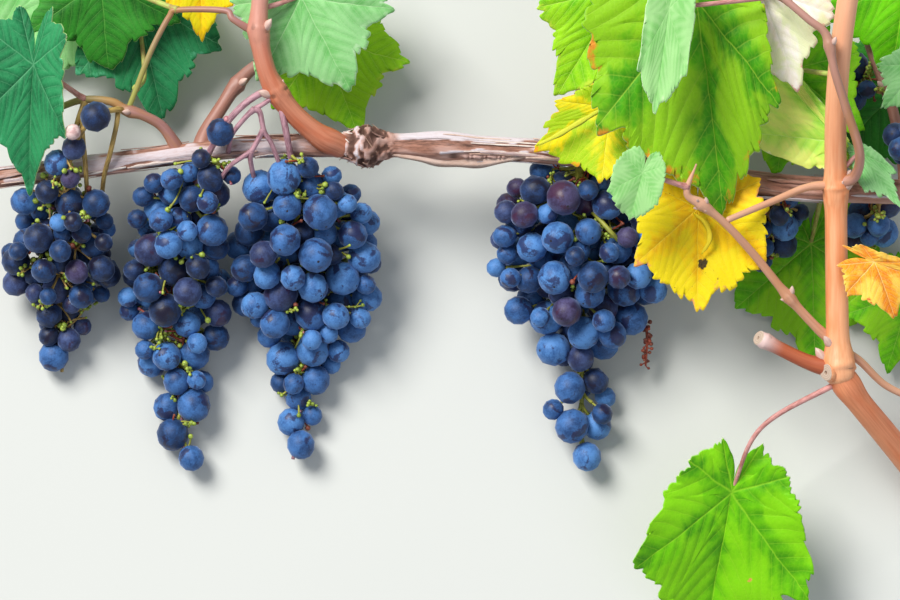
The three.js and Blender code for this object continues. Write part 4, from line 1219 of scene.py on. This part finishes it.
def add_berries(skin, centres, radii, axes, finish, chance, wrinkle=0.0, angles=BERRY_RINGS,
                spokes=BERRY_SPOKES):
    """Berries: rings round an axis from the stalk's end to the far end, at -radius cos angle along it and
    of size radius sin angle, a little longer than wide. Wrinkled ones are creased. The wear's second
    number runs from 0 at the stalk to 1 at the far end, as half of 1 − cos angle."""
    count = len(radii)
    wrinkle = np.broadcast_to(wrinkle, count)
    turn = round_angles(spokes)
    crease = np.abs(np.sin(2.5 * turn[None, None] + 3 * angles[None, :, None] + 9 * chance[:, None, None]))
    swell = 1 - CREASE * wrinkle[:, None, None] * (1 - crease)
    long = radii * (1.0 + 0.07 * chance)
    side, up = any_crosswise(axes)
    along = -np.cos(angles)[None] * long[:, None]
    rings = radii[:, None, None] * swell * np.sin(angles)[None, :, None]
    place = centres[:, None] + axes[:, None] * along[..., None]
    start = centres - axes * (0.97 * long)[:, None]
    end = centres + axes * (0.99 * long)[:, None]
    sides, ups = (np.repeat(way[:, None], len(angles), axis=1) for way in (side, up))
    points, *shapes = tubes(place, sides, ups, rings, start, end)
    faces = [(face, np.repeat(finish, len(face) // count), False) for face in shapes]
    each = len(points) // count
    far = np.concatenate([[0.0], np.repeat((1 - np.cos(angles)) / 2, spokes), [1.0]])
    wear = np.column_stack([np.repeat(chance, each), np.tile(far, count), np.repeat(wrinkle, each)])
    skin.add(points, faces, unbent(along, rings) + np.repeat(chance * 331, each)[:, None], wear)


def add_beads(skin, rng, places, radii, axes, finish):
    """Tiny berries, of two dozen faces each."""
    if len(radii):
        add_berries(skin, places, radii, axes, finish, rng.random(len(radii)), 0.0, BEAD_RINGS, BEAD_SPOKES)


def hubs_of(bunch, berries, shares):
    """The side branches of the main stalk: berries of the same stretch and the same side share a hub,
    halfway between the stalk and their middle. Gives each berry's hub, the hubs and their roots."""
    point, side, up = stalk_frame(bunch["stalk"], shares)
    off = berries[:, :3] - point
    turn = np.arctan2(np.sum(off * up, axis=1), np.sum(off * side, axis=1))
    line = stalk_frame(bunch["stalk"], np.linspace(0, 1, 60))[0]
    length = np.linalg.norm(np.diff(line, axis=0), axis=1).sum()
    stretch = np.round(shares * length / HUB_STRETCH).astype(int)
    sector = np.floor((turn + np.pi + stretch * 0.9) / (2 * np.pi) * HUB_SECTORS).astype(int)
    _, group = np.unique(stretch * 10 + sector, return_inverse=True)
    count = group.max() + 1
    tally = np.bincount(group, minlength=count)[:, None]
    middles = np.stack([np.bincount(group, berries[:, k], count) for k in range(3)], axis=1) / tally
    share = np.bincount(group, shares, count) / tally[:, 0]
    roots, _, _ = stalk_frame(bunch["stalk"], np.maximum(share - HUB_BEFORE / length, 0.02))
    return group, blend(roots, middles, 0.5), roots


def make_bunch(name, bunch, taken):
    """One bunch as two pieces: its berries, and its stalks with the small berries that never filled.
    Gives the space that its berries take."""
    rng = np.random.default_rng(bunch["seed"])
    berries, shares = berries_of(bunch, taken)
    centres, radii = berries[:, :3], berries[:, 3]
    group, hubs, roots = hubs_of(bunch, berries, shares)
    axes = unit(centres - hubs[group] + rng.normal(0, 1.0, centres.shape))
    chance = rng.random(len(radii))
    weights = np.array(bunch["weights"], float)
    finish = rng.choice(len(GRAPES), len(radii), p=weights / weights.sum())
    wrinkle = (rng.random(len(radii)) < WRINKLED_SHARE).astype(float)
    finish = np.where(wrinkle > 0, len(GRAPES) - 1, finish)
    fruit = Skin()
    add_berries(fruit, centres, radii * 1.02, axes, finish, chance, wrinkle)
    fruit.piece(name + "_berries", name, GRAPES)

    stems = Skin()
    main = stalk_frame(bunch["stalk"], np.linspace(0, 1, 40))[0]
    add_stalk(stems, main, bunch["thick"], STALK_TIP, MAIN, step=1.2, spokes=8)
    bend = blend(roots, hubs, 0.5) + [0, -1.0, 1.0]
    add_twigs(stems, roots, bend, hubs, thick=0.95, thin=0.75, finish=STEM)
    foot = centres - axes * (radii * 0.93)[:, None]
    bend = blend(hubs[group], foot, 0.5) + rng.normal(0, 0.8, foot.shape)
    add_twigs(stems, hubs[group], bend, foot, thick=0.5, thin=0.62, finish=STEM)
    for line in bunch["extras"]:
        add_stalk(stems, line, finish=MAIN, **EXTRA_SHAPE)
    add_tufts(stems, rng, hubs, centres, radii, main, bunch["tufts_to"])
    for line in bunch["sprigs"]:
        add_sprig(stems, rng, np.array(line, float))
    if bunch["unripe"]:
        add_unripe(stems, np.array(bunch["unripe"], float))
    stalk = STALKS[bunch["stems"]]
    main_stalk = STALKS[bunch.get("main", bunch["stems"])]
    palette = [main_stalk, stalk, BEADS["green"], STALKS["red"], BEADS["pink"], STALKS["dry"], BEADS["pale"]]
    stems.piece(name + "_stalks", name, palette)
    return berries


def add_unripe(skin, numbers):
    """One pale berry that never ripened, by nine numbers: the foot of its stalk, its middle, its radius."""
    foot, centre, radius = numbers[None, :3], numbers[None, 3:6], numbers[6:]
    axis = unit(centre - foot)
    seat = centre - axis * radius
    add_twigs(skin, foot, blend(foot, centre, 0.5), seat, thick=0.6, thin=0.6, finish=STEM)
    add_berries(skin, centre, radius, axis, np.array([PALE]), np.array([0.5]))


def add_sprig(skin, rng, line):
    """A dried side stalk that has lost its berries: short crooked twigs leave it by turns, each with a
    shrunken bead at its end."""
    add_stalk(skin, line, finish=RED, **SPRIG_SHAPE)
    path = Path(line)
    along = np.arange(2.0, path.length, SPRIG_TWIG_STEP)
    count = len(along)
    here = path.at(along)
    way = unit(path.ahead(along) * 0.5 + rng.normal(0, 0.8, here.shape))
    tips = here + way * rng.uniform(1.0, 2.8, (count, 1))
    bend = blend(here, tips, 0.5) + rng.normal(0, 0.25, here.shape)
    add_twigs(skin, here, bend, tips, thick=0.34, thin=0.28, finish=RED)
    finish = np.where(np.arange(count) % 2, DRY, RED)
    add_beads(skin, rng, tips, rng.uniform(0.55, 1.05, count), way, finish)


def add_tufts(skin, rng, hubs, centres, radii, stalk, upto):
    """Bare pedicels that show between the berries, each with a tiny berry that never filled: from every
    hub some are tried upwards, and the ones that end just clear of the nearest berry are kept, if they
    are little farther from the main stalk than it is, not past a share of the stalk, and hide no berry's
    middle. Some fork into short rays."""
    pick = np.repeat(np.arange(len(hubs)), TUFT_TRIES)
    way = unit(rng.normal(0, 1, (len(pick), 3)) + [0, 0, 0.9])
    spots = hubs[pick] + way * rng.uniform(*TUFT_REACH, (len(pick), 1))
    gaps = np.linalg.norm(spots[:, None] - centres[None], axis=2) - radii[None]
    nearest = gaps.min(axis=1)
    level = np.linalg.norm(spots[:, None, :2] - centres[None, :, :2], axis=2) / radii[None]
    before = np.any((level < TUFT_HIDES) & (centres[None, :, 2] < spots[:, None, 2]), axis=1)
    off_stalk = np.linalg.norm(spots[:, None] - stalk[None], axis=2)
    reach, late = off_stalk.min(axis=1), off_stalk.argmin(axis=1) / len(stalk)
    beside = np.linalg.norm(centres[:, None] - stalk[None], axis=2).min(axis=1)[gaps.argmin(axis=1)]
    keep = (nearest > TUFT_CLEAR[0]) & (nearest < TUFT_CLEAR[1]) & (spots[:, 2] > TUFT_LOWEST) & ~before
    keep = keep & (reach < beside + TUFT_PAST_BERRY) & (late < upto)
    spots, pick, way = spots[keep], pick[keep], way[keep]
    count = len(spots)
    tint = np.where(rng.random(count) < RED_SHARE, RED, STEM)
    bend = blend(hubs[pick], spots, 0.5) + rng.normal(0, 1.2, spots.shape)
    add_twigs(skin, hubs[pick], bend, spots, thick=0.5, thin=0.42, finish=tint)
    small = 0.7 + 0.9 * rng.random(count) ** 2
    mark = np.where(tint == RED, np.where(rng.random(count) < 0.3, PINK, DRY), GREEN)
    add_beads(skin, rng, spots, small, way, mark)

    forked = np.repeat(np.nonzero((tint == STEM) & (rng.random(count) < FORKED_SHARE))[0], FORK_RAYS)
    rays = unit(rng.normal(0, 1, (len(forked), 3)) + [0, 0, 0.8])
    ends = spots[forked] + rays * rng.uniform(*FORK_REACH, (len(forked), 1))
    clear = (np.linalg.norm(ends[:, None] - centres[None], axis=2) - radii[None]).min(axis=1) > FORK_CLEAR
    forked, rays, ends = forked[clear], rays[clear], ends[clear]
    bend = blend(spots[forked], ends, 0.5)
    add_twigs(skin, spots[forked], bend, ends, thick=0.4, thin=0.36, finish=STEM)
    add_beads(skin, rng, ends, rng.uniform(0.6, 1.1, len(forked)), rays, np.full(len(forked), GREEN))


# Leaves


# A leaf's stalk goes from root to the blade's own origin, at, and may bend at via. The blade has its tip
# at a distance, size, in a direction, heading, in degrees from X. Sides are the widths of its halves, base
# and tip scale its lobes, and full says how far the cuts between them are filled. Pitch, roll, fold and
# curl are in degrees and wave in millimetres, and teeth and relief are shares of the usual.
LEAVES = completed(dict(
    sides=(1, 1), base=1, full=0.83, tip=1, teeth=1, pitch=-4, roll=0, fold=8, curl=10, wave=1.5,
    relief=1, strips=[]), {
    "far_left_leaf": dict(
        root=(-164, 90, 54), at=(-186, 105, 66), size=57, heading=-95, sides=(0.45, 0.6),
        via=(-178, 100, 60), pitch=-8, roll=12, fold=20, curl=20, wave=2, slot="green_leaf",
        finish="teal"),
    "upper_left_leaf": dict(
        root=(-122, 130, 58), at=(-158, 145, 36), size=41, heading=-86, sides=(1.1, 1.1), fold=6,
        curl=20, wave=2, slot="dark_leaf", finish="deep"),
    "behind_left_leaf": dict(
        root=(-141, 95, 54.3), at=(-143, 138, 23), size=56, heading=-78, sides=(0.8, 0.8),
        via=(-139, 104, 26), fold=5, wave=2, slot="dark_leaf", finish="teal"),
    "corner_leaf": dict(
        root=(-180, 84, 51.6), at=(-182, 146, 12), size=52, heading=-108, sides=(1, 1.1), pitch=-1,
        fold=4, curl=8, slot="pale_leaf", finish="pale"),
    "small_yellow_leaf": dict(
        root=(-85, 146, 65.5), at=(-113, 149, 44), size=31, heading=-88, sides=(0.7, 0.7), fold=10,
        wave=1, slot="yellow_leaf", finish="yellow"),
    "pale_back_leaf": dict(
        root=(-85, 130, 65), at=(-67, 136, 52), size=46, heading=-62, curl=15, slot="pale_leaf",
        finish="pale"),
    "lime_back_leaf": dict(
        root=(-78, 111, 32.5), at=(-58, 119, 22), size=44, heading=-70, pitch=-3, fold=6,
        slot="green_leaf", finish="lime"),
    "bright_top_leaf": dict(
        root=(83, 134, 43), at=(78, 140, 62), size=55, heading=-122, sides=(0.9, 0.7), curl=15, wave=2,
        slot="green_leaf", finish="lime"),
    "big_green_leaf": dict(
        root=(91, 150, 44.8), at=(109, 133, 84), size=96, heading=-82, sides=(0.42, 0.72),
        via=(104, 156, 72), pitch=0, fold=5, curl=25, slot="green_leaf", finish="turning", full=0.93),
    "left_yellow_leaf": dict(
        root=(65, 103, 41), at=(72, 86, 66), size=38, heading=208, sides=(1, 0.5), slot="yellow_leaf",
        finish="yellow_green", full=0.9,
        strips=[[(38.5, 69, 66), (48, 73.5, 70), (60, 80.5, 72), (70, 86.5, 70)]]),
    "low_yellow_leaf": dict(
        root=(113, 41.5, 78.5), at=(111, 41, 60), size=47, heading=-90, sides=(0.9, 0.8), pitch=0,
        fold=5, slot="yellow_leaf", finish="torn_yellow", full=0.92, tip=0.94,
        strips=[[(109, 39, 61), (114.5, 34, 65), (116, 27, 66), (112.5, 20.5, 63)]]),
    "small_pale_leaf": dict(
        root=(105.5, 50, 82.6), at=(85, 56, 92), size=24, heading=-105, sides=(0.6, 0.75), pitch=0,
        fold=10, curl=15, wave=1, slot="pale_leaf", finish="silver", full=0.98, teeth=0.4, relief=0.5,
        tip=0.9),
    "rolled_pale_leaf": dict(
        root=(146, 134.5, 92), at=(96, 127.5, 107), size=53, heading=-98, sides=(0.31, 0.27), pitch=0,
        fold=15, curl=4, wave=1, slot="pale_leaf", finish="silver", full=0.95, teeth=0.35, relief=0.2,
        tip=0.85),
    "cream_leaf": dict(
        root=(150, 131, 92), at=(137, 139, 77), size=47, heading=-68, sides=(0.8, 0.8),
        slot="cream_leaf", finish="cream"),
    "folded_lime_leaf": dict(
        root=(172, 74, 67.5), at=(175, 71, 53.5), size=60, heading=133, sides=(0.62, 0.15), base=0.45,
        pitch=0, fold=0.5, curl=1, wave=0.6, slot="green_leaf", finish="soft_lime"),
    "dark_back_leaf": dict(
        root=(173, 100, 76), at=(154, 104, 47), size=46, heading=-98, pitch=0, fold=2, curl=4, wave=1,
        slot="dark_leaf", finish="mid"),
    "orange_leaf": dict(
        root=(173.4, 17, 56), at=(190, 17, 61), size=33, heading=-20, sides=(0.25, 0.85), pitch=-10,
        fold=15, curl=20, wave=2, slot="yellow_leaf", finish="orange"),
    "low_green_leaf": dict(
        root=(176.5, -36, 51.5), at=(127.5, -87, 37), size=80, heading=-99, via=(140, -57, 56),
        sides=(0.72, 0.65), base=0.65, pitch=-17, fold=14, curl=15, wave=2, slot="green_leaf",
        finish="low_bright", full=0.9, relief=0.6),
    "dark_low_leaf": dict(
        root=(168, 50, 46), at=(166, 26, 3.5), size=54, heading=-88, sides=(0.9, 0.9), pitch=0, fold=1,
        curl=2, wave=1, slot="dark_leaf", finish="mid"),
    "small_node_leaf": dict(
        root=(174, 57, 62), at=(183.5, 66, 60), size=30, heading=-52, sides=(0.35, 0.4), base=0.5,
        pitch=-3, fold=2, curl=2, wave=0.3, slot="pale_leaf", finish="pale"),
    "top_right_leaf": dict(
        root=(184, 142, 32), at=(206, 146, 42), size=46, heading=-98, sides=(0.9, 1), slot="green_leaf",
        finish="bright"),
    "right_pale_leaf": dict(
        root=(197, 97, 33), at=(212, 106, 52), size=26, heading=-130, sides=(0.8, 0.8), fold=10, wave=1,
        slot="pale_leaf", finish="pale"),
    "shaded_right_leaf": dict(
        root=(200, 88, 33.5), at=(206, 98, 4), size=44, heading=-132, pitch=0, fold=1, curl=2, wave=1,
        slot="dark_leaf", finish="deep"),
    "low_right_leaf": dict(
        root=(212, 49, 46), at=(211, 4, 12), size=36, heading=-106, pitch=-5, fold=4, curl=6, wave=1,
        slot="green_leaf", finish="mid"),
})
TEETH_LEAST = 16
TEETH_PER_MILLIMETRE = 0.72
TOOTH_POINTS = np.array([0.0, 0.55, 0.9, 1.0, 0.85, 0.35])
TOOTH_HEIGHT = 2.7
TOOTH_LEAN = 0.3
SCALLOPS = 0.36
SCALLOP_HEIGHT = 0.07
RING_STEP = 2.1
LEAF_LOWEST = 0.3
PETIOLE_SHAPE = dict(thick=1.4, thin=0.85, step=1.2, spokes=10, swellings=((0, 0.5, 2.5), (1, 0.2, 2.0)))
UNDERSIDE_OF = {"yellow_leaf": "yellow", "cream_leaf": "pale", "pale_leaf": "pale"}


def edge_reach(leaf, angle):
    """The source's outline: the largest of the lobes' reaches, each divided by 1 + half the square of the
    angle off it in half-widths, and drawn in towards the stalk at the sinus. The cuts between the lobes
    are filled up to a share, how full the leaf is, of the straight run from tip to tip."""
    turn = np.abs(angle)
    angles = np.array([lobe for lobe, _ in LOBES])
    tips = np.array([reach * (leaf["base"] if lobe > BASE_LOBES_FROM else 1) for lobe, reach in LOBES])
    tips[0] *= leaf["tip"]
    reach = leaf["full"] * np.interp(turn, angles, tips)
    for lobe, tip in zip(angles, tips):
        reach = np.maximum(reach, tip / (1 + LOBE_CUT * ((turn - lobe) / LOBE_HALF_ANGLE) ** 2))
    opening = np.clip((np.pi - turn) / SINUS_HALF_ANGLE, 0, 1)
    return reach * (SINUS_REACH + (1 - SINUS_REACH) * np.sqrt(opening))


def shape_leaf(leaf, flat_x, y, height):
    """The source's form: each half has its own width, is folded up along the midrib, bent down on an arc
    along its length, and waved at its edge."""
    x = flat_x * np.where(flat_x < 0, *leaf["sides"])
    fold = np.radians(leaf["fold"])
    across = np.abs(x) * np.cos(fold) - height * np.sin(fold)
    share = np.hypot(x, y) / leaf["size"]
    wave = leaf["wave"] * share**2 * np.sin(5 * np.arctan2(x, y) + leaf["size"])
    raised = np.abs(x) * np.sin(fold) + height * np.cos(fold) + wave
    bend = np.radians(leaf["curl"]) / leaf["size"]
    radius = 1 / bend - raised
    sideways = np.sign(x) * np.maximum(0, across)
    forwards = np.sin(y * bend) * radius
    upwards = np.cos(y * bend) * radius - 1 / bend + 2 * raised
    return np.stack([sideways, forwards, upwards], axis=-1)


def turned(axis, angle):
    """The matrix of a turn by so many degrees about X, Y or Z, 0, 1 or 2."""
    c, s = np.cos(np.radians(angle)), np.sin(np.radians(angle))
    matrix = np.eye(3)
    first, second = [(1, 2), (2, 0), (0, 1)][axis]
    matrix[first, first] = matrix[second, second] = c
    matrix[first, second] = -s
    matrix[second, first] = s
    return matrix


def placed(leaf, points):
    """Points of the leaf's own space, rolled, pitched, headed and moved to its place."""
    turn = turned(2, leaf["heading"] - 90) @ turned(0, leaf["pitch"]) @ turned(1, leaf["roll"])
    return points @ turn.T + np.array(leaf["at"])


def blade_grid(leaf, rng):
    """The flat blade as spokes and rings. A spoke's reach is the outline times the ring's share, and
    towards the edge it takes the teeth, which lean towards the nearest lobe's tip, and wider scallops."""
    teeth = int(TEETH_LEAST + TEETH_PER_MILLIMETRE * leaf["size"])
    corners = len(TOOTH_POINTS)
    width = np.repeat(rng.uniform(0.6, 1.4, teeth), corners)
    angle = -np.pi + (np.cumsum(width) - 0.5 * width) * 2 * np.pi / width.sum()
    rings = max(9, int(leaf["size"] / RING_STEP))
    share = np.linspace(0, 1, rings + 1)[1:, None]
    size = np.repeat(rng.uniform(0.45, 1.25, teeth), corners) * leaf["teeth"] * width**0.5
    profile = np.tile(TOOTH_POINTS, teeth)
    turns = np.abs(angle)
    calm = rise(np.pi - turns, 0.1, 0.5)
    lobes = np.array([lobe for lobe, _ in LOBES])
    off = lobes[np.argmin(np.abs(turns[:, None] - lobes), axis=1)] - turns
    tip = hump(off, 0, 0.06) * (turns < BASE_LOBES_FROM)
    scallop = np.abs(np.sin(0.5 * int(SCALLOPS * teeth) * angle + rng.uniform(0, 3))) - 0.6
    tooth = TOOTH_HEIGHT / leaf["size"] * (profile * size - 0.6)
    tooth = calm * (tooth + leaf["teeth"] * SCALLOP_HEIGHT * scallop + 0.05 * tip)
    edge = rise(share, 0.72, 1.0)
    lean = edge * TOOTH_LEAN * (2 * np.pi / teeth) * calm * profile
    angles = angle + lean * np.sign(off) * np.sign(angle) * rise(np.abs(off), 0.02, 0.15)
    reach = leaf["size"] * share * edge_reach(leaf, angle) * (1 + tooth * edge)
    return np.sin(angles) * reach, np.cos(angles) * reach, np.broadcast_to(share, reach.shape)


def blade_relief(leaf, x, y, share, seed):
    """The blade's own relief in millimetres: it swells between the side veins and sinks at the veins, and
    it is uneven on a larger scale. Also the ridge that each vein makes on the underside."""
    size = leaf["size"]
    away, step, out = vein_map(x / size, y / size)
    swell = np.sin(np.pi * step) ** 0.7 * rise(away, 0.0, 0.06) * (1 - rise(share, 0.85, 1.0))
    swell = swell * rise(out, 0.05, 0.2) * leaf["relief"]
    groove = hump(away, 0, 0.012) * (1 - rise(out, 0.7, 1.0)) * rise(out, 0.02, 0.1) * leaf["relief"]
    uneven = grain(seed, x / size * 5 + 40, y / size * 5 + 40, 64) - 0.5
    ruffle = np.sin(9 * np.arctan2(x, y) + seed) * share**4
    relief = size * (0.008 * swell - 0.005 * groove + 0.03 * uneven * share + 0.010 * ruffle)
    ridge = size * (0.008 * groove + 0.003 * hump(np.sin(np.pi * step), 0, 0.3) * (1 - share))
    return relief, ridge


def add_blade(skin, leaf, seed):
    """A closed blade: an upper sheet, an underside and a rim between them."""
    rng = np.random.default_rng(seed)
    x, y, share = blade_grid(leaf, rng)
    relief, ridge = blade_relief(leaf, x, y, share, seed)
    half = leaf["size"] * BLADE_THICKNESS / 2
    rings, spokes = x.shape
    sheets = []
    for height, middle in ((half + relief, half), (relief - half - ridge, -half)):
        sheets.append(shape_leaf(leaf, np.zeros(1), np.zeros(1), np.array([middle])))
        sheets.append(shape_leaf(leaf, x, y, height).reshape(-1, 3))
    points = placed(leaf, np.concatenate(sheets))
    points[:, 2] = np.maximum(points[:, 2], LEAF_LOWEST)
    index = 1 + np.arange(rings * spokes).reshape(rings, spokes)
    beside = np.roll(index, -1, axis=1)
    below = 1 + rings * spokes
    zero = np.zeros(spokes, int)
    upper = np.stack([index[:-1], beside[:-1], beside[1:], index[1:]], axis=-1).reshape(-1, 4)
    fan = np.stack([zero, beside[0], index[0]], axis=-1)
    rim = np.stack([index[-1], beside[-1], beside[-1] + below, index[-1] + below], axis=-1)
    faces = [(upper, UPPER, False), (fan, UPPER, False), (upper[:, ::-1] + below, UNDER, False)]
    faces += [(fan[:, [0, 2, 1]] + below, UNDER, False), (rim, UNDER, True)]
    flat = np.stack([x / leaf["size"], y / leaf["size"], share], axis=-1).reshape(-1, 3)
    flat = np.concatenate([np.zeros((1, 3)), flat])
    skin.add(points, faces, np.concatenate([flat, flat]), (rng.random(), 0, 0))


def make_leaf(name, leaf, seed):
    """One leaf's piece: blade, stalk and loose strips. The stalk bends from its limb to just under the
    junction."""
    skin = Skin()
    add_blade(skin, leaf, seed)
    root = np.array(leaf["root"], float)
    via = leaf.get("via", blend(root, np.array(leaf["at"], float), 0.5))
    junction = placed(leaf, np.array([[0.0, -0.6, -1.2]]))[0]
    junction[2] = max(junction[2], 1.2)
    add_stalk(skin, [root, via, junction], finish=PETIOLE, **PETIOLE_SHAPE)
    for strip in leaf["strips"]:
        add_ribbon(skin, strip, half_width=1.3, half_thick=0.25, finish=UPPER)
    under = UNDERSIDES[UNDERSIDE_OF.get(leaf["slot"], "green")]
    petiole = STALKS["green_petiole" if leaf["slot"] == "dark_leaf" else "petiole"]
    skin.piece(name + "_blade", name, [LEAF_FINISHES[leaf["finish"]], under, petiole])


# The branch


for number, (limb_name, limb_data) in enumerate(LIMBS.items()):
    make_limb(limb_name, limb_data, 100 + 10 * number)

taken_space = space_of_limbs()
for bunch_name, bunch_data in BUNCHES.items():
    taken_space = np.vstack([taken_space, make_bunch(bunch_name, bunch_data, taken_space)])

for number, (leaf_name, leaf_data) in enumerate(LEAVES.items()):
    make_leaf(leaf_name, leaf_data, 300 + number)


# The stage


CAMERA_HEIGHT = 2250.4
CAMERA_LENS = 195.6
FLOOR_HALF = 6.0
LIGHTS = {
    "key": dict(place=(-2.0, 2.5, 3.375), size=2.0, power=312, tint=(1.0, 0.98, 0.94)),
    "fill": dict(place=(1.2, -1.2, 1.4), size=1.6, power=6, tint=(0.92, 0.96, 1.0)),
}
AIR_TINT = (0.86, 0.92, 1.0, 1.0)
AIR_STRENGTH = 0.42


def make_floor():
    """A plain pale floor under the branch."""
    corners = [(x * FLOOR_HALF, y * FLOOR_HALF, 0) for x, y in ((-1, -1), (1, -1), (1, 1), (-1, 1))]
    mesh = bpy.data.meshes.new("floor")
    mesh.from_pydata(corners, [], [(0, 1, 2, 3)])
    f = Finish("floor_paint")
    cloud = f.noise(f.node("TexCoord", output=3), 3.0, 2.0)
    tone = f.mix(colour("c9cbc7"), colour("d1d3cf"), cloud)
    mesh.materials.append(f.surface(tone, 0.85))
    floor = bpy.data.objects.new("floor", mesh)
    bpy.context.scene.collection.objects.link(floor)


def add_light(name, place, size, power, tint):
    """A soft square light at a place in metres, aimed at the branch."""
    lamp = bpy.data.lights.new(name, "AREA")
    lamp.size = size
    lamp.energy = power
    lamp.color = tint
    obj = bpy.data.objects.new(name, lamp)
    obj.location = place
    away = unit(np.array(place, float))
    obj.rotation_euler = (np.arccos(away[2]), 0, np.arctan2(away[0], -away[1]))
    bpy.context.scene.collection.objects.link(obj)


def light_scene():
    """A large soft light from above the shoots' tips, a weak one from the other side, and pale air."""
    for name, light in LIGHTS.items():
        add_light(name, **light)
    world = bpy.data.worlds.new("air")
    bpy.context.scene.world = world
    world.use_nodes = True
    air = world.node_tree.nodes["Background"].inputs
    air["Color"].default_value = AIR_TINT
    air["Strength"].default_value = AIR_STRENGTH
    bpy.context.scene.view_settings.view_transform = "Standard"


def place_camera():
    """The photograph's view: straight down on the branch, with the shoots' tips at the top."""
    lens = bpy.data.cameras.new("camera")
    lens.sensor_width = 36
    lens.lens = CAMERA_LENS
    lens.clip_end = 30
    camera = bpy.data.objects.new("camera", lens)
    camera.location = (-MIDDLE[0] / MILLIMETRES, -MIDDLE[1] / MILLIMETRES, CAMERA_HEIGHT / MILLIMETRES)
    bpy.context.scene.collection.objects.link(camera)
    bpy.context.scene.camera = camera


make_floor()
light_scene()
place_camera()
